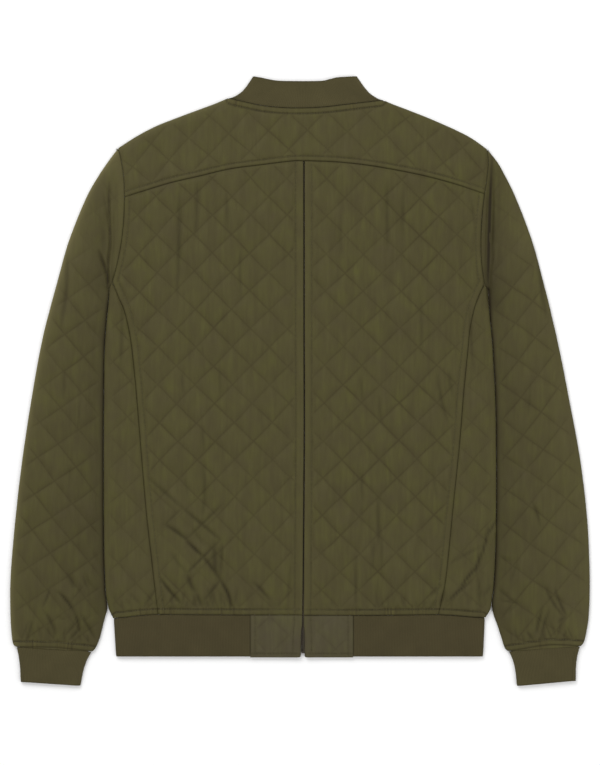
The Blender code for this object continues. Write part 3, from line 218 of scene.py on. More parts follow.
# Creases in millimetres: (from x, from y, to x, to y, bow, half width, depth).
CREASES = [
    (-170, -179, -139, -201, 1.2, 2.6, 2.0), (-143, -199, -121, -220, 0.0, 2.2, 2.5),
    (-124, -217, -98, -251, 1.0, 2.2, 2.2), (-102, -247, -86, -288, 4.0, 2.2, 2.5),
    (-108, -203, -105, -246, 0.0, 5.0, 1.5), (-97, -199, -100, -248, 0.0, 2.2, 1.1),
    (-191, -120, -146, -160, 0.0, 2.3, 1.2), (-149, -157, -97, -201, 0.0, 2.3, 1.6),
    (-99, -198, -144, -243, 0.0, 2.3, 1.5), (-147, -158, -171, -182, 0.0, 2.3, 1.0),
    (-143, -199, -96, -153, 0.0, 2.3, 1.2), (-176, -245, -148, -279, -1.0, 2.2, 2.4),
    (-141, -240, -130, -265, -2.0, 3.4, 1.7), (-130, -265, -123, -282, 0.0, 2.2, 1.6),
    (-121, -276, -99, -248, 0.0, 2.8, 1.5), (-59, -251, -38, -274, 1.0, 2.2, 1.7),
    (-195, -282, -180, -260, 0.0, 2.4, 1.1), (-214, -264, -199, -280, 0.0, 2.2, 0.9),
    (-121, -59, -120, -89, 0.0, 2.6, 0.7), (-121, -101, -122, -176, 1.9, 2.8, 1.0),
    (-144, -121, -140, -146, 0.0, 2.4, 0.7), (-99, -205, -100, -246, 0.0, 2.4, 0.8),
    (-162, -214, -141, -240, -1.2, 2.6, 0.9), (-134, -184, -118, -206, -1.2, 2.4, 0.8),
    (-118, -254, -109, -282, 0.0, 2.2, 0.8), (-151, 241, -154, 104, 1.2, 3.4, 1.3),
    (-128, 251, -130, 181, 0.0, 3.0, 1.0), (-92, 236, -91, 186, 0.0, 2.8, 0.8),
    (-148, 11, -146, -16, 0.0, 2.6, 0.7), (-100, 11, -99, -19, 0.0, 2.6, 0.7),
    (-239, 252, -239, 196, 0.0, 2.2, 1.6), (-304, -262, -281, -292, 2.0, 2.2, 2.3),
    (-282, -289, -276, -314, 1.0, 2.2, 2.3), (-275, -309, -289, -325, 0.0, 2.2, 1.5),
    (-312, -259, -321, -283, 0.0, 2.4, 1.5), (-292, -238, -280, -262, 0.0, 4.0, 1.4),
    (-272, -241, -265, -262, 0.0, 3.2, 1.4), (-288, -278, -268, -252, 0.0, 2.3, 1.1),
    (-276, -288, -255, -325, 0.0, 2.3, 1.8), (-334, -298, -341, -324, 0.0, 2.4, 1.3),
    (-320, -287, -305, -319, 1.5, 2.4, 1.7),
    (-305, -295, -291, -299, 0.0, 2.2, 0.8), (-294, -319, -279, -301, 0.0, 2.4, 1.3),
    (-284, -321, -274, -309, 0.0, 2.2, 0.9), (-260, -292, -272, -301, 0.0, 2.4, 0.9),
    (-295, 16, -296, -26, 0.0, 2.8, 0.9), (-275, -21, -278, -64, 0.0, 2.8, 0.9),
    (-261, -129, -261, -159, 0.0, 2.4, 0.8), (-262, -210, -245, -241, 0.0, 2.8, 0.9),
    (-270, -240, -254, -264, -1.2, 2.6, 0.9), (245, -174, 231, -196, 1.2, 2.2, 1.7),
    (236, -182, 224, -226, 1.2, 2.2, 2.0), (228, -212, 218, -244, -0.6, 2.2, 2.1),
    (224, -230, 200, -260, -1.5, 2.2, 2.2), (214, -250, 184, -277, -1.0, 2.2, 2.2),
    (231, -205, 188, -229, -1.2, 2.6, 0.8),
    (178, -254, 161, -271, 0.0, 2.4, 1.0), (182, -261, 174, -282, 0.0, 2.4, 1.1),
    (70, -221, 69, -284, 0.0, 2.6, 1.0), (98, -141, 100, -209, -1.2, 2.8, 1.2),
    (92, -199, 91, -236, 0.0, 2.4, 0.9), (102, -196, 102, -231, 0.0, 2.4, 0.8),
    (76, -109, 78, -151, 0.0, 2.6, 0.8), (99, -19, 101, -54, 0.0, 2.6, 0.8),
    (76, 4, 78, -26, 0.0, 2.8, 0.9), (108, 251, 110, 164, 0.0, 3.2, 1.1),
    (130, 244, 129, 171, -1.2, 3.0, 1.0), (98, -244, 94, -281, 0.0, 2.2, 0.7),
    (149, -288, 160, -274, 0.0, 2.0, 0.7), (159, -289, 171, -274, 0.0, 2.0, 0.8),
    (222, -259, 226, -284, 0.0, 2.4, 1.0), (229, -270, 240, -255, 0.0, 2.4, 0.9),
    (240.6, 288, 234.8, 92, -1.0, 3.4, 3.5), (239, 240, 235.2, 124, -0.5, 3.2, 2.4),
    (243, 250, 240, 110, 0.0, 6.0, 1.6),
    (245, 176, 240, 142, -0.8, 2.2, 1.3), (-253, 166, -240, 126, 0.8, 1.9, 2.7),
    (-239, 226, -237, 160, 0.0, 1.6, 1.9), (-241, 142, -240, 112, 0.0, 2.0, 3.2),
    (-237, 178, -240, 126, -1.0, 1.6, 1.9), (-247, 238, -240, 194, 1.0, 1.8, 1.1),
    (-247, 202, -245, 148, 0.0, 6.0, 1.0), (214, 229, 218, 195, 0.0, 2.4, 0.9),
    (289, -149, 301, -186, 1.9, 2.8, 1.3),
    (306, -255, 330, -295, -2.5, 2.8, 1.4), (301, -326, 312, -284, 1.2, 2.6, 1.4),
    (292, -324, 301, -291, 0.0, 2.4, 1.0), (246, -220, 266, -226, 0.0, 2.6, 0.9),
    (304, -281, 295, -319, -1.0, 2.4, 1.7), (249, -275, 274, -277, 0.0, 2.3, 1.3),
    (319, -260, 333, -294, -1.0, 2.4, 1.7), (333, -294, 322, -302, 0.0, 2.3, 1.3),
    (283, -312, 292, -325, 0.0, 2.3, 1.5), (222, -242, 226, -275, 0.0, 2.4, 1.2),
    (246, -259, 270, -279, 0.0, 2.6, 1.0), (256, -294, 276, -274, 0.0, 2.6, 1.0),
    (271, -222, 260, -254, 2.5, 2.8, 1.0), (320, -324, 328, -299, 0.0, 2.4, 1.0),
    (172, 11, 186, -54, -2.5, 2.8, 1.0), (186, 11, 191, -21, 0.0, 2.6, 0.8),
    (166, -111, 171, -149, 0.0, 2.6, 0.7), (-222, 101, -226, 11, 1.2, 3.4, 0.8),
    (212, 101, 218, 11, -1.2, 3.4, 0.8), (-75, 164, -74, 101, 0.0, 2.8, 0.7),
    (50, 208, 51, 149, 0.0, 2.8, 0.7), (150, 114, 151, 36, 1.2, 3.0, 0.8),
    (-12, -224, -15, -274, 0.0, 2.4, 0.7), (-292, 164, -300, 64, 3.8, 4.0, 1.2),
    (300, 176, 310, 74, -3.8, 4.0, 1.2), (-288, -99, -289, -139, 0.0, 2.6, 0.8),
    (288, -1, 285, -49, 0.0, 2.8, 0.8),
]

# Places, in millimetres, where folds hide the quilting: (across, up, radius, share hidden).
HUSHED = [(-142, -196, 46, 0.8), (-112, -256, 34, 0.7), (-284, -292, 36, 0.45), (308, -298, 32, 0.5),
          (212, -240, 30, 0.5), (-240, 170, 30, 0.7), (240, 170, 30, 0.7), (-262, 215, 50, 0.55),
          (262, 215, 50, 0.5), (-30, -318, 36, 0.5), (36, -318, 36, 0.5)]

# Gathers of the shell into the knit, in millimetres. They rise from a line beside the seam:
# (from x, from y, to x, to y, how many, longest, deepest).
GATHERS = [
    (-236, -283, -180, -284, 9, 22, 0.8), (-178, -284, -80, -284, 20, 26, 1.0),
    (-78, -284, -12, -284, 7, 12, 0.5), (20, -285, 90, -285, 9, 14, 0.5),
    (92, -285, 172, -284, 16, 20, 0.9), (176, -283, 232, -281, 8, 20, 0.8),
    (-352, -325, -264, -329, 17, 30, 1.2), (262, -330, 348, -324, 17, 28, 1.2),
    (-232, -292, -14, -292, 40, 9, 0.5), (20, -292, 228, -290, 36, 9, 0.5),
]

# Where the shell is gathered most into the knit, in millimetres: (from, to) across.
BUNCHES = [(-202, -186), (-175, -155), (-127, -116), (-101, -94), (-86, -72), (60, 70), (104, 126),
           (138, 160), (-340, -326), (-304, -284), (292, 306)]


# ---------------------------------------------------------------- settings
def length(name, description, value):
    return FloatProperty(name=name, description=description, default=value * MM, unit="LENGTH",
                         precision=5)


def colour(name, description, value):
    return FloatVectorProperty(name=name, description=description, default=value, size=3,
                               subtype="COLOR", min=0.0, max=1.0)


class JacketSizes(bpy.types.PropertyGroup):
    """Sizes of the cloth, the knit and the sewing."""
    grid: length("Upper Mesh", "Mesh size of the upper cloth", 2.1)
    hidden_grid: length("Under Mesh", "Mesh size of the cloth underneath", 4.6)
    cloth: length("Cloth", "Thickness of the quilted cloth", 1.5)
    level: length("Level", "Height of the upper cloth on its stitch lines", 5.4)
    quilt_relief: length("Quilt Relief", "Height of the padding over its stitch lines", 2.1)
    under_relief: length("Under Relief", "Depth of the quilting underneath", 0.9)
    quilt_slope: length("Quilt Slope", "Width of the slope beside a stitch line", 3.4)
    fold_reach: length("Fold Reach", "Width of a rounded fold, seen from above", 5.0)
    swell: length("Swell", "Extra height amid the body and the sleeves", 1.6)
    rib_pitch: length("Rib Pitch", "One rib and one furrow of the knit", 2.0)
    rib_relief: length("Rib Relief", "Height of a rib over its furrow", 0.55)
    rib_cloth: length("Rib Cloth", "Thickness of the doubled knit", 2.3)
    stitch: length("Stitch", "Length of one top-stitch with its gap", 3.2)
    thread: length("Thread", "Diameter of the sewing thread", 0.8)
    tooth_pitch: length("Tooth Pitch", "Distance from one zip tooth to the next of its side", 2.8)


class JacketColours(bpy.types.PropertyGroup):
    """Colours of the cloth, the knit, the thread and the zips."""
    shell: colour("Shell", "Quilted cloth", (0.0728, 0.0656, 0.0214))
    # The tabs' greyer copy of the shell colour is painted light: it stands in for the change of light
    # towards the hem.
    tab: colour("Tab", "Quilted hem tabs", (0.0760, 0.0680, 0.0310))
    rib: colour("Knit", "Ribbed hem", (0.064, 0.052, 0.022))
    light_rib: colour("Light Knit", "Ribbed collar and cuffs", (0.0740, 0.0620, 0.0255))
    thread: colour("Thread", "Sewing thread", (0.070, 0.062, 0.026))
    tape: colour("Tape", "Zip tapes", (0.030, 0.026, 0.016))
    teeth: colour("Teeth", "Zip teeth", (0.042, 0.033, 0.021))


class JacketStage(bpy.types.PropertyGroup):
    """Camera, lights and floor."""
    camera_height: FloatProperty(name="Camera Height", description="Camera above the floor",
                                 default=4.0, unit="LENGTH")
    frame_height: FloatProperty(name="Frame Height", description="Height of the view on the floor",
                                default=0.95625, unit="LENGTH")
    key_power: FloatProperty(name="Key Light", description="Power of the main light", default=28.0,
                             unit="POWER")
    sky: FloatProperty(name="Surrounding Light", description="Strength of the even light",
                       default=0.72, min=0.0)


# ---------------------------------------------------------------- plane curves
def smooth(rows, steps=16):
    """Catmull-Rom curve through a table's rows."""
    ends = np.vstack([2 * rows[0] - rows[1], rows, 2 * rows[-1] - rows[-2]])
    t = (np.arange(steps) / steps)[:, None]
    spans = [0.5 * (2 * b + (c - a) * t + (2 * a - 5 * b + 4 * c - d) * t * t
                    + (3 * b - a - 3 * c + d) * t ** 3)
             for a, b, c, d in zip(ends, ends[1:], ends[2:], ends[3:])]
    return np.vstack(spans + [rows[-1:]])


def run_of(line):
    """Distance along a line of each of its points."""
    return np.concatenate([[0.0], np.cumsum(np.linalg.norm(np.diff(line, axis=0), axis=1))])


def at_shares(line, shares):
    """Points of a line at shares of its length."""
    run = run_of(line)
    return np.column_stack([np.interp(shares * run[-1], run, line[:, k])
                            for k in range(line.shape[1])])


def unit(vectors):
    return vectors / np.maximum(np.linalg.norm(vectors, axis=-1, keepdims=True), 1e-12)


def square_to(line, turn):
    """Unit vectors square to a line, on its left for a turn of 1."""
    ahead = np.gradient(line, axis=0)
    return unit(turn * np.column_stack([-ahead[:, 1], ahead[:, 0]]))


def nearest(points, line):
    """Distance of each plan point from a line, and how far along the line it is."""
    away, place = np.full(len(points), 9.0), np.zeros(len(points))
    for a, b, start in zip(line, line[1:], run_of(line)):
        along = b - a
        t = np.clip(((points - a) @ along) / max(along @ along, 1e-12), 0.0, 1.0)
        found = np.linalg.norm(points - a - t[:, None] * along, axis=1)
        place = np.where(found < away, start + t * np.linalg.norm(along), place)
        away = np.minimum(away, found)
    return away, place


def distance(points, line):
    return nearest(points, line)[0]


def ease(low, high, value):
    t = np.clip((value - low) / (high - low), 0.0, 1.0)
    return t * t * (3 - 2 * t)


def noise(x, y, seed):
    """Smooth noise from -1 to 1 that changes over about one unit."""
    size = 128
    table = np.random.default_rng(seed).uniform(-1.0, 1.0, (size, size))
    column, row = np.floor(x).astype(int), np.floor(y).astype(int)
    tx, ty = x - column, y - row
    tx, ty = tx * tx * (3 - 2 * tx), ty * ty * (3 - 2 * ty)
    a, b = table[column % size, row % size], table[(column + 1) % size, row % size]
    c, d = table[column % size, (row + 1) % size], table[(column + 1) % size, (row + 1) % size]
    return (a * (1 - tx) + b * tx) * (1 - ty) + (c * (1 - tx) + d * tx) * ty


# Distances from an edge at which a mesh has stations before its even pitch begins.
FINE = {
    "seam": metres((0.0, 0.5, 1.2, 2.2)),
    "stitched": metres((0.0, 0.5, 1.2, 2.4, 3.8, 5.0, 6.0, 7.0, 8.0, 9.2)),
    "placket": metres((0.0, 0.5, 1.2, 2.6, 4.6, 6.6, 8.4, 9.4, 10.2, 11.0, 11.8, 12.8, 14.0)),
    "fold": metres((0.0,)),
}


def stations(size, pitch, first, last):
    """Shares from 0 to 1 across a size: fine at its edges, even between."""
    head = FINE[first] / size
    tail = 1 - FINE[last][::-1] / size
    count = max(2, round((tail[0] - head[-1]) * size / pitch))
    return np.concatenate([head[:-1], np.linspace(head[-1], tail[0], count + 1), tail[1:]])


# ---------------------------------------------------------------- relief
class Quilt:
    """Diamond stitching: the line numbers of a place on the cloth."""

    def __init__(self, name):
        row = np.array(QUILT[name])
        self.origin, self.bow = row[:2] * MM, row[6] / MM
        self.inverse = np.linalg.inv(np.column_stack([row[2:4], row[4:6]]) * MM)
        ways = np.array([self.inverse[0] + self.inverse[1], self.inverse[0] - self.inverse[1]])
        self.spacing = 1 / np.linalg.norm(ways, axis=1)
        self.seed = sum(map(ord, name))

    def lines(self, flat):
        """The two line numbers of each place; whole numbers are stitch lines."""
        lifted = flat + np.stack([0 * flat[..., 0], self.bow * flat[..., 0] ** 2], axis=-1)
        a, b = np.moveaxis((lifted - self.origin) @ self.inverse.T, -1, 0)
        x, y = flat[..., 0] / (70 * MM), flat[..., 1] / (70 * MM)
        waves = [0.05 * noise(x, y, self.seed + k) + 0.022 * noise(3 * x, 3 * y, self.seed + 7 + k)
                 for k in (0, 1)]
        return np.stack([a + b + waves[0], a - b + waves[1]], axis=-1)

    def puff(self, lines, slope):
        """Padding's share of its height: none on a stitch line, all amid a diamond."""
        away = np.abs(lines - np.round(lines)) * self.spacing
        rounded = np.sqrt(away ** 2 + (1.1 * MM) ** 2) - 1.1 * MM
        sides = 1 - np.exp(-rounded / slope)
        return sides[..., 0] * sides[..., 1]


def crease_table():
    """All creases in metres: those listed, and the gathers along the knit."""
    rows = [np.array(row, float) * MM for row in CREASES]
    random = np.random.default_rng(7)
    for x0, y0, x1, y1, count, longest, deepest in GATHERS:
        for k in range(count):
            t = (k + random.uniform(0.1, 0.9)) / count
            x, y = x0 + (x1 - x0) * t, y0 + (y1 - y0) * t
            reach = longest * random.uniform(0.25, 1.0) ** 1.5
            lean = random.normal(0.0, 0.28)
            rows.append(np.array((x, y, x + lean * reach, y + reach, random.normal(0, 0.6),
                                  random.uniform(1.5, 2.6),
                                  deepest * random.uniform(0.4, 1.0))) * MM)
    return rows


CREASE_ROWS = crease_table()
DARKEST = 2.8 * MM      # depth of a crease that no light reaches
DEEPEST = 2.5 * MM      # how far creases that meet may sink the cloth between them
SEAM_SHADE = 0.8 * MM   # half width of the dark line that a seam shows
LOWEST = -3.2 * MM      # lift at which the upper cloth would touch the cloth below it


def crease_lift(points):
    """Troughs, each with a softer ridge beside it: their lift, and how much shade they hold."""
    lift, shade = np.zeros(len(points)), np.zeros(len(points))
    for x0, y0, x1, y1, bow, half_width, depth in CREASE_ROWS:
        axis = np.array([x1 - x0, y1 - y0])
        size = np.linalg.norm(axis)
        axis = axis / size
        near = np.flatnonzero(np.abs(points - ((x0 + x1) / 2, (y0 + y1) / 2)).max(axis=1)
                              < size / 2 + 5 * half_width)
        away = points[near] - (x0, y0)
        t = np.clip(away @ axis / size, 0.0, 1.0)
        side = away @ np.array([-axis[1], axis[0]]) - bow * 4 * t * (1 - t)
        past = away @ axis - t * size
        taper = np.sin(math.pi * np.clip(t, 0.02, 0.98)) ** 0.6 * np.exp(-(past / half_width) ** 2)
        lift[near] -= depth * taper * np.exp(-(side / half_width) ** 2)
        lift[near] += 0.45 * depth * taper * np.exp(-((side - 2.1 * half_width)
                                                      / (1.3 * half_width)) ** 2)
        held = depth / DARKEST * taper * np.exp(-(side / (0.7 * half_width)) ** 2)
        shade[near] = np.maximum(shade[near], held)
    return lift, np.minimum(shade, 1.0)


def edge_lift(points, edges):
    """Lift beside seams and edges, the quilting's share that is left there, and the shade held.

    Each edge is a line, the distance of its top-stitching, which is 0 for a plain seam, the
    painted shade along the seam itself, and the painted shade in the top-stitching's groove.
    """
    lift, shown, shade = np.zeros(len(points)), np.ones(len(points)), np.zeros(len(points))
    for line, reach, dark, groove in edges:
        away = distance(points, line)
        shade = np.maximum(shade, dark * np.exp(-(away / SEAM_SHADE) ** 2))
        if reach:
            strength = 0.45 + 0.55 * np.minimum(groove / 0.35, 1.0)
            lift -= 1.1 * MM * np.exp(-(away / (1.0 * MM)) ** 2)
            lift += 0.8 * MM * strength * (1 - ease(reach, reach + 4 * MM, away))
            lift -= 1.0 * MM * strength * np.exp(-((away - reach) / (1.0 * MM)) ** 2)
            shade = np.maximum(shade, groove * np.exp(-((away - reach) / (0.9 * MM)) ** 2))
            shown = np.minimum(shown, ease(reach, reach + 5 * MM, away))
        else:
            lift -= 1.1 * MM * np.exp(-away / (1.5 * MM))
            shown = np.minimum(shown, ease(0.5 * MM, 5 * MM, away))
    return lift, shown, shade


def ladder(points, edges):
    """Puckers across the top-stitching: the place along it, and how much of them shows."""
    along, share = np.zeros(len(points)), np.zeros(len(points))
    x = points[:, 0] / MM
    gathered = sum(ease(start - 3, start + 2, x) * ease(end + 3, end - 2, x) for start, end in BUNCHES)
    for line, reach, _, groove in edges:
        if reach:
            away, place = nearest(points, line)
            here = (0.3 + 0.6 * groove) * np.exp(-((away - reach) / (1.7 * MM)) ** 2)
            if np.max(groove) > 0.6:
                band = 1 - ease(reach + 1 * MM, reach + 4 * MM, away)
                here = np.maximum(here, (0.15 + 0.85 * gathered) * band * np.minimum(1.2 * groove, 1))
            along, share = np.where(here > share, place, along), np.maximum(share, here)
    return along, share


def upper_lift(points, lines, quilt, edges, sizes, plain):
    """Lift of the upper cloth, the share of the quilting shown, and the shade held."""
    lift, shown, shade = edge_lift(points, edges)
    shown, seed = shown * plain, quilt.seed
    x, y = points[:, 0] / MM, points[:, 1] / MM
    cell = np.floor(lines).astype(int)
    uneven = 1 + 0.16 * np.random.default_rng(seed).uniform(-1, 1, (64, 64))[cell[:, 0] % 64,
                                                                             cell[:, 1] % 64]
    shown = shown * (0.78 + 0.22 * noise(x / 52.0, y / 60.0, seed + 5))
    for across, up, radius, share in HUSHED:
        shown *= 1 - share * np.exp(-(((x - across) ** 2 + (y - up) ** 2) / radius ** 2) ** 2)
    lively = 1 + 0.9 * ease(20.0, -260.0, y)
    puff = quilt.puff(lines, sizes.quilt_slope)
    lift += sizes.quilt_relief * puff * shown * uneven
    lift += 0.30 * MM * noise(x / 4.2, y / 26.0, seed + 2) * (0.35 + 0.65 * puff) * lively * shown
    lift += 0.50 * MM * noise(x / 9.0, y / 40.0, seed + 3) * lively * shown
    lift += 0.50 * MM * noise(x / 16.0, y / 24.0, seed + 6) * (lively - 0.6) * shown
    lift += 0.50 * MM * noise(x / 55.0, y / 70.0, seed + 4)
    creased, held = crease_lift(points)
    creased /= (1 + (np.minimum(creased, 0.0) / DEEPEST) ** 4) ** 0.25
    return np.maximum(lift + creased, LOWEST), shown, np.maximum(shade, held)


def under_lift(points, lines, quilt, edges, sizes):
    """Lift, share and shade of the cloth underneath, which only draws up from the floor."""
    lift, shown, shade = np.zeros(len(points)), np.ones(len(points)), np.zeros(len(points))
    for line, _, dark, _ in edges:
        away = distance(points, line)
        lift -= 0.9 * MM * np.exp(-away / (1.8 * MM))
        shade = np.maximum(shade, dark * np.exp(-(away / SEAM_SHADE) ** 2))
        shown = np.minimum(shown, ease(1 * MM, 6 * MM, away))
    lift -= sizes.under_relief * (1 - quilt.puff(lines, sizes.quilt_slope)) * shown
    creased, held = crease_lift(points * (-1, 1))
    return np.minimum(lift + 0.6 * np.minimum(creased, 0.0), 0.0), shown, np.maximum(shade, 0.5 * held)


# ---------------------------------------------------------------- cloth grids
class Cut:
    """A piece of cloth as a grid: where it lies, which way it faces, its place on the flat cut."""

    def __init__(self, at, facing, flat):
        self.at, self.facing, self.flat = at, facing, flat

    def points(self):
        """Each place of the grid in plan, in one list."""
        return self.at[..., :2].reshape(-1, 2)

    def area(self):
        """Area of the plain cloth before quilting and creases."""
        ahead, over = self.at[1:, :-1] - self.at[:-1, :-1], self.at[:-1, 1:] - self.at[:-1, :-1]
        return float(np.linalg.norm(np.cross(ahead, over), axis=2).sum())


def coons(near, far, first, last, across, up):
    """Patch between four lines: near and far run along its columns, first and last up its rows."""
    s, t = across[None, :, None], up[:, None, None]
    b, f = at_shares(near, across)[None], at_shares(far, across)[None]
    l, r = at_shares(first, up)[:, None], at_shares(last, up)[:, None]
    corners = (b[:, :1] * (1 - s) + b[:, -1:] * s) * (1 - t) + (f[:, :1] * (1 - s) + f[:, -1:] * s) * t
    return b * (1 - t) + f * t + l * (1 - s) + r * s - corners


def draw_in(plan, sides):
    """Move the named sides of a plan grid in by half the gap of a seam."""
    rows = {"near": (0, 1), "far": (-1, -2)}
    for side in sides:
        if side in rows:
            at, beside = rows[side]
            plan[at] += HALF_GAP * unit(plan[beside] - plan[at])
        else:
            at, beside = (0, 1) if side == "first" else (-1, -2)
            plan[:, at] += HALF_GAP * unit(plan[:, beside] - plan[:, at])


def flat_cut(plan, height, way):
    """A cut that lies flat at a height, facing up for a way of 1."""
    at = np.concatenate([plan, np.full(plan.shape[:2] + (1,), height)], axis=2)
    facing = np.zeros_like(at)
    facing[..., 2] = way
    return Cut(at, facing, plan.copy())


def turned_under(cut, edge, under, half, reach, low_rows):
    """Carry a cut on round a fold beyond its far row, and on to the seam underneath.

    edge and under hold one plan point a column; a column with no fold has them at its far row.
    """
    tangent = cut.at[-1, :, :2]
    folded = np.linalg.norm(under - tangent, axis=1) > 1e-9
    out = unit(edge - tangent)
    back = unit(under - edge)
    rows = []
    for angle in np.radians(np.linspace(90, -90, 9))[1:]:
        over, rise = math.cos(angle), math.sin(angle)
        side = tangent if rise > 0 else edge + back * reach
        plan = edge + (side - edge) * (1 - over)
        sideways = (out if rise > 0 else -back) * (over / reach)
        rows.append((plan, half + half * rise, sideways, rise / half))
    for t in np.arange(1, low_rows + 1) / low_rows:
        start = edge + back * reach
        rows.append((start + (under - start) * t, 0.0, 0 * out, -1.0))
    at, facing = [], []
    for plan, height, sideways, upward in rows:
        point = np.column_stack([plan, np.full(len(plan), height)])
        way = unit(np.column_stack([sideways, np.full(len(plan), upward)]))
        at.append(np.where(folded[:, None], point, cut.at[-1]))
        facing.append(np.where(folded[:, None], way, cut.facing[-1]))
    at, facing = np.array(at), np.array(facing)
    steps = np.linalg.norm(np.diff(np.concatenate([cut.at[-1:], at]), axis=0), axis=2)
    beyond = cut.flat[-1] + out * np.cumsum(steps, axis=0)[..., None]
    return Cut(np.concatenate([cut.at, at]), np.concatenate([cut.facing, facing]),
               np.concatenate([cut.flat, beyond]))


def cloth_object(name, cut, lift, lines, thickness, **fields):
    """One closed mesh: the cut's face with its relief, and its inside at the cloth's thickness."""
    at = cut.at + cut.facing * lift[..., None]
    at[..., 2] = np.maximum(at[..., 2], 0.0)
    rows, columns = at.shape[:2]
    number = np.arange(rows * columns).reshape(rows, columns)
    quads = np.stack([number[:-1, :-1], number[:-1, 1:], number[1:, 1:], number[1:, :-1]],
                     axis=-1).reshape(-1, 4)
    mesh = bpy.data.meshes.new(name + "_cloth")
    mesh.from_pydata(at.reshape(-1, 3).tolist(), [], quads.tolist())
    corner = quads.reshape(-1)
    for layer, values in (("cloth", cut.flat), ("quilt", lines)):
        mesh.uv_layers.new(name=layer).data.foreach_set(
            "uv", values.reshape(-1, 2)[corner].astype(np.float32).ravel())
    for field, values in fields.items():
        mesh.attributes.new(field, "FLOAT", "POINT").data.foreach_set(
            "value", values.ravel().astype(np.float32))
    body = bmesh.new()
    body.from_mesh(mesh)
    bmesh.ops.remove_doubles(body, verts=body.verts, dist=1e-5)
    bmesh.ops.recalc_face_normals(body, faces=body.faces)
    highest = max(body.faces, key=lambda face: face.calc_center_median().z)
    lowest = min(body.faces, key=lambda face: face.calc_center_median().z)
    if (highest.normal.z < 0) if cut.facing[0, 0, 2] > -0.5 else (lowest.normal.z > 0):
        bmesh.ops.reverse_faces(body, faces=body.faces)
    body.to_mesh(mesh)
    body.free()
    made = add_object(mesh)
    wall = made.modifiers.new("Cloth", "SOLIDIFY")
    wall.thickness, wall.offset = thickness, -1.0
    apply_modifiers(made)
    for vertex in made.data.vertices:
        vertex.co.z = max(vertex.co.z, 0.0)
    made.data.shade_smooth()
    made.data.set_sharp_from_angle(angle=math.radians(70))
    return made


def add_object(mesh):
    """A mesh as an object of its own name in the scene."""
    made = bpy.data.objects.new(mesh.name, mesh)
    bpy.context.scene.collection.objects.link(made)
    return made


def recalculate(made):
    """Turn the faces of closed shells outward."""
    body = bmesh.new()
    body.from_mesh(made.data)
    bmesh.ops.recalc_face_normals(body, faces=body.faces)
    body.to_mesh(made.data)
    body.free()


def apply_modifiers(made):
    """Apply all of an object's modifiers, with nothing else selected."""
    bpy.ops.object.select_all(action="DESELECT")
    made.select_set(True)
    bpy.context.view_layer.objects.active = made
    for modifier in list(made.modifiers):
        bpy.ops.object.modifier_apply(modifier=modifier.name)


def dress(made, stuff, slot, *nodes):
    """Give a piece its material and the solids it stands for; slot is not used."""
    made.data.materials.clear()
    made.data.materials.append(stuff)
    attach(made, "root")
    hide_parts(*nodes)


def declare(cut):
    """The area of a piece's cut, capped just under its flat size; the value is thrown away."""
    width, height = np.ptp(cut.flat.reshape(-1, 2), axis=0)
    min(cut.area(), 0.99 * float(width * height))


# ---------------------------------------------------------------- edges of the pieces
def arm_parts(side):
    """Armhole seam: from the shoulder to the yoke seam, and on to the armpit."""
    rows = ARMHOLE[side]
    return smooth(rows[:ARM_YOKE_ROW + 1]), smooth(rows[ARM_YOKE_ROW:])


def shoulder_fold(side, reach):
    """Shoulder edge, the line where its fold begins, and the hidden seam under it."""
    edge = smooth(SHOULDER[side])
    share = (run_of(edge) / run_of(edge)[-1])[:, None]
    to_neck = FRONT_NECK[side][0] - edge[0]
    to_arm = ARMHOLE[side][1] - edge[-1]
    step = INWARD[side]
    along_neck = unit(smooth(NECK_SEAM)[::step][8] - edge[0])
    square = square_to(edge, step)
    near_neck, near_arm = np.maximum(0, 1 - share * 4), np.maximum(0, 1 - (1 - share) * 4)
    inward = unit(square * (1 - near_neck - near_arm) + along_neck * near_neck
                  + unit(to_arm) * near_arm)
    return edge, edge + inward * reach, edge + to_neck * (1 - share) + to_arm * share


def side_lines(side, reach):
    """Side edge, the line where its fold begins, and the hidden seam under it."""
    edge, hem = smooth(SIDE_EDGE[side]), smooth(HEM_SEAM[side])
    inward = square_to(edge, INWARD[side])
    start, end = ARMHOLE[side][-1] - edge[0], hem[-9] - hem[-1]
    run = run_of(edge)
    share = run / run[-1]
    first, last = (np.maximum(0, part)[:, None] for part in (1 - share * 8, 1 - (run[-1] - run) / 0.03))
    inward = unit(inward * (1 - first - last) + unit(start) * first + unit(end) * last)
    turn = np.interp(share, (0.0, 0.1, 1.0), (np.linalg.norm(start), *SIDE_TURN))
    tangent = np.minimum(reach, np.interp(share, (0.0, 0.12), (0.45 * np.linalg.norm(start), 1.0)))
    under = edge + inward * turn[:, None]
    order = np.argsort(hem[:, 0])
    under[-1, 1] = np.interp(under[-1, 0], hem[order, 0], hem[order, 1])
    return edge, edge + inward * tangent[:, None], under


def amid(points):
    """1 over the middle of the back, less towards the armholes."""
    return 1 - 0.6 * ease(185 * MM, 225 * MM, np.abs(points[:, 0]))


def by_hem(points):
    """0 up the body, 1 at the hem."""
    return ease(-225 * MM, -290 * MM, points[:, 1])


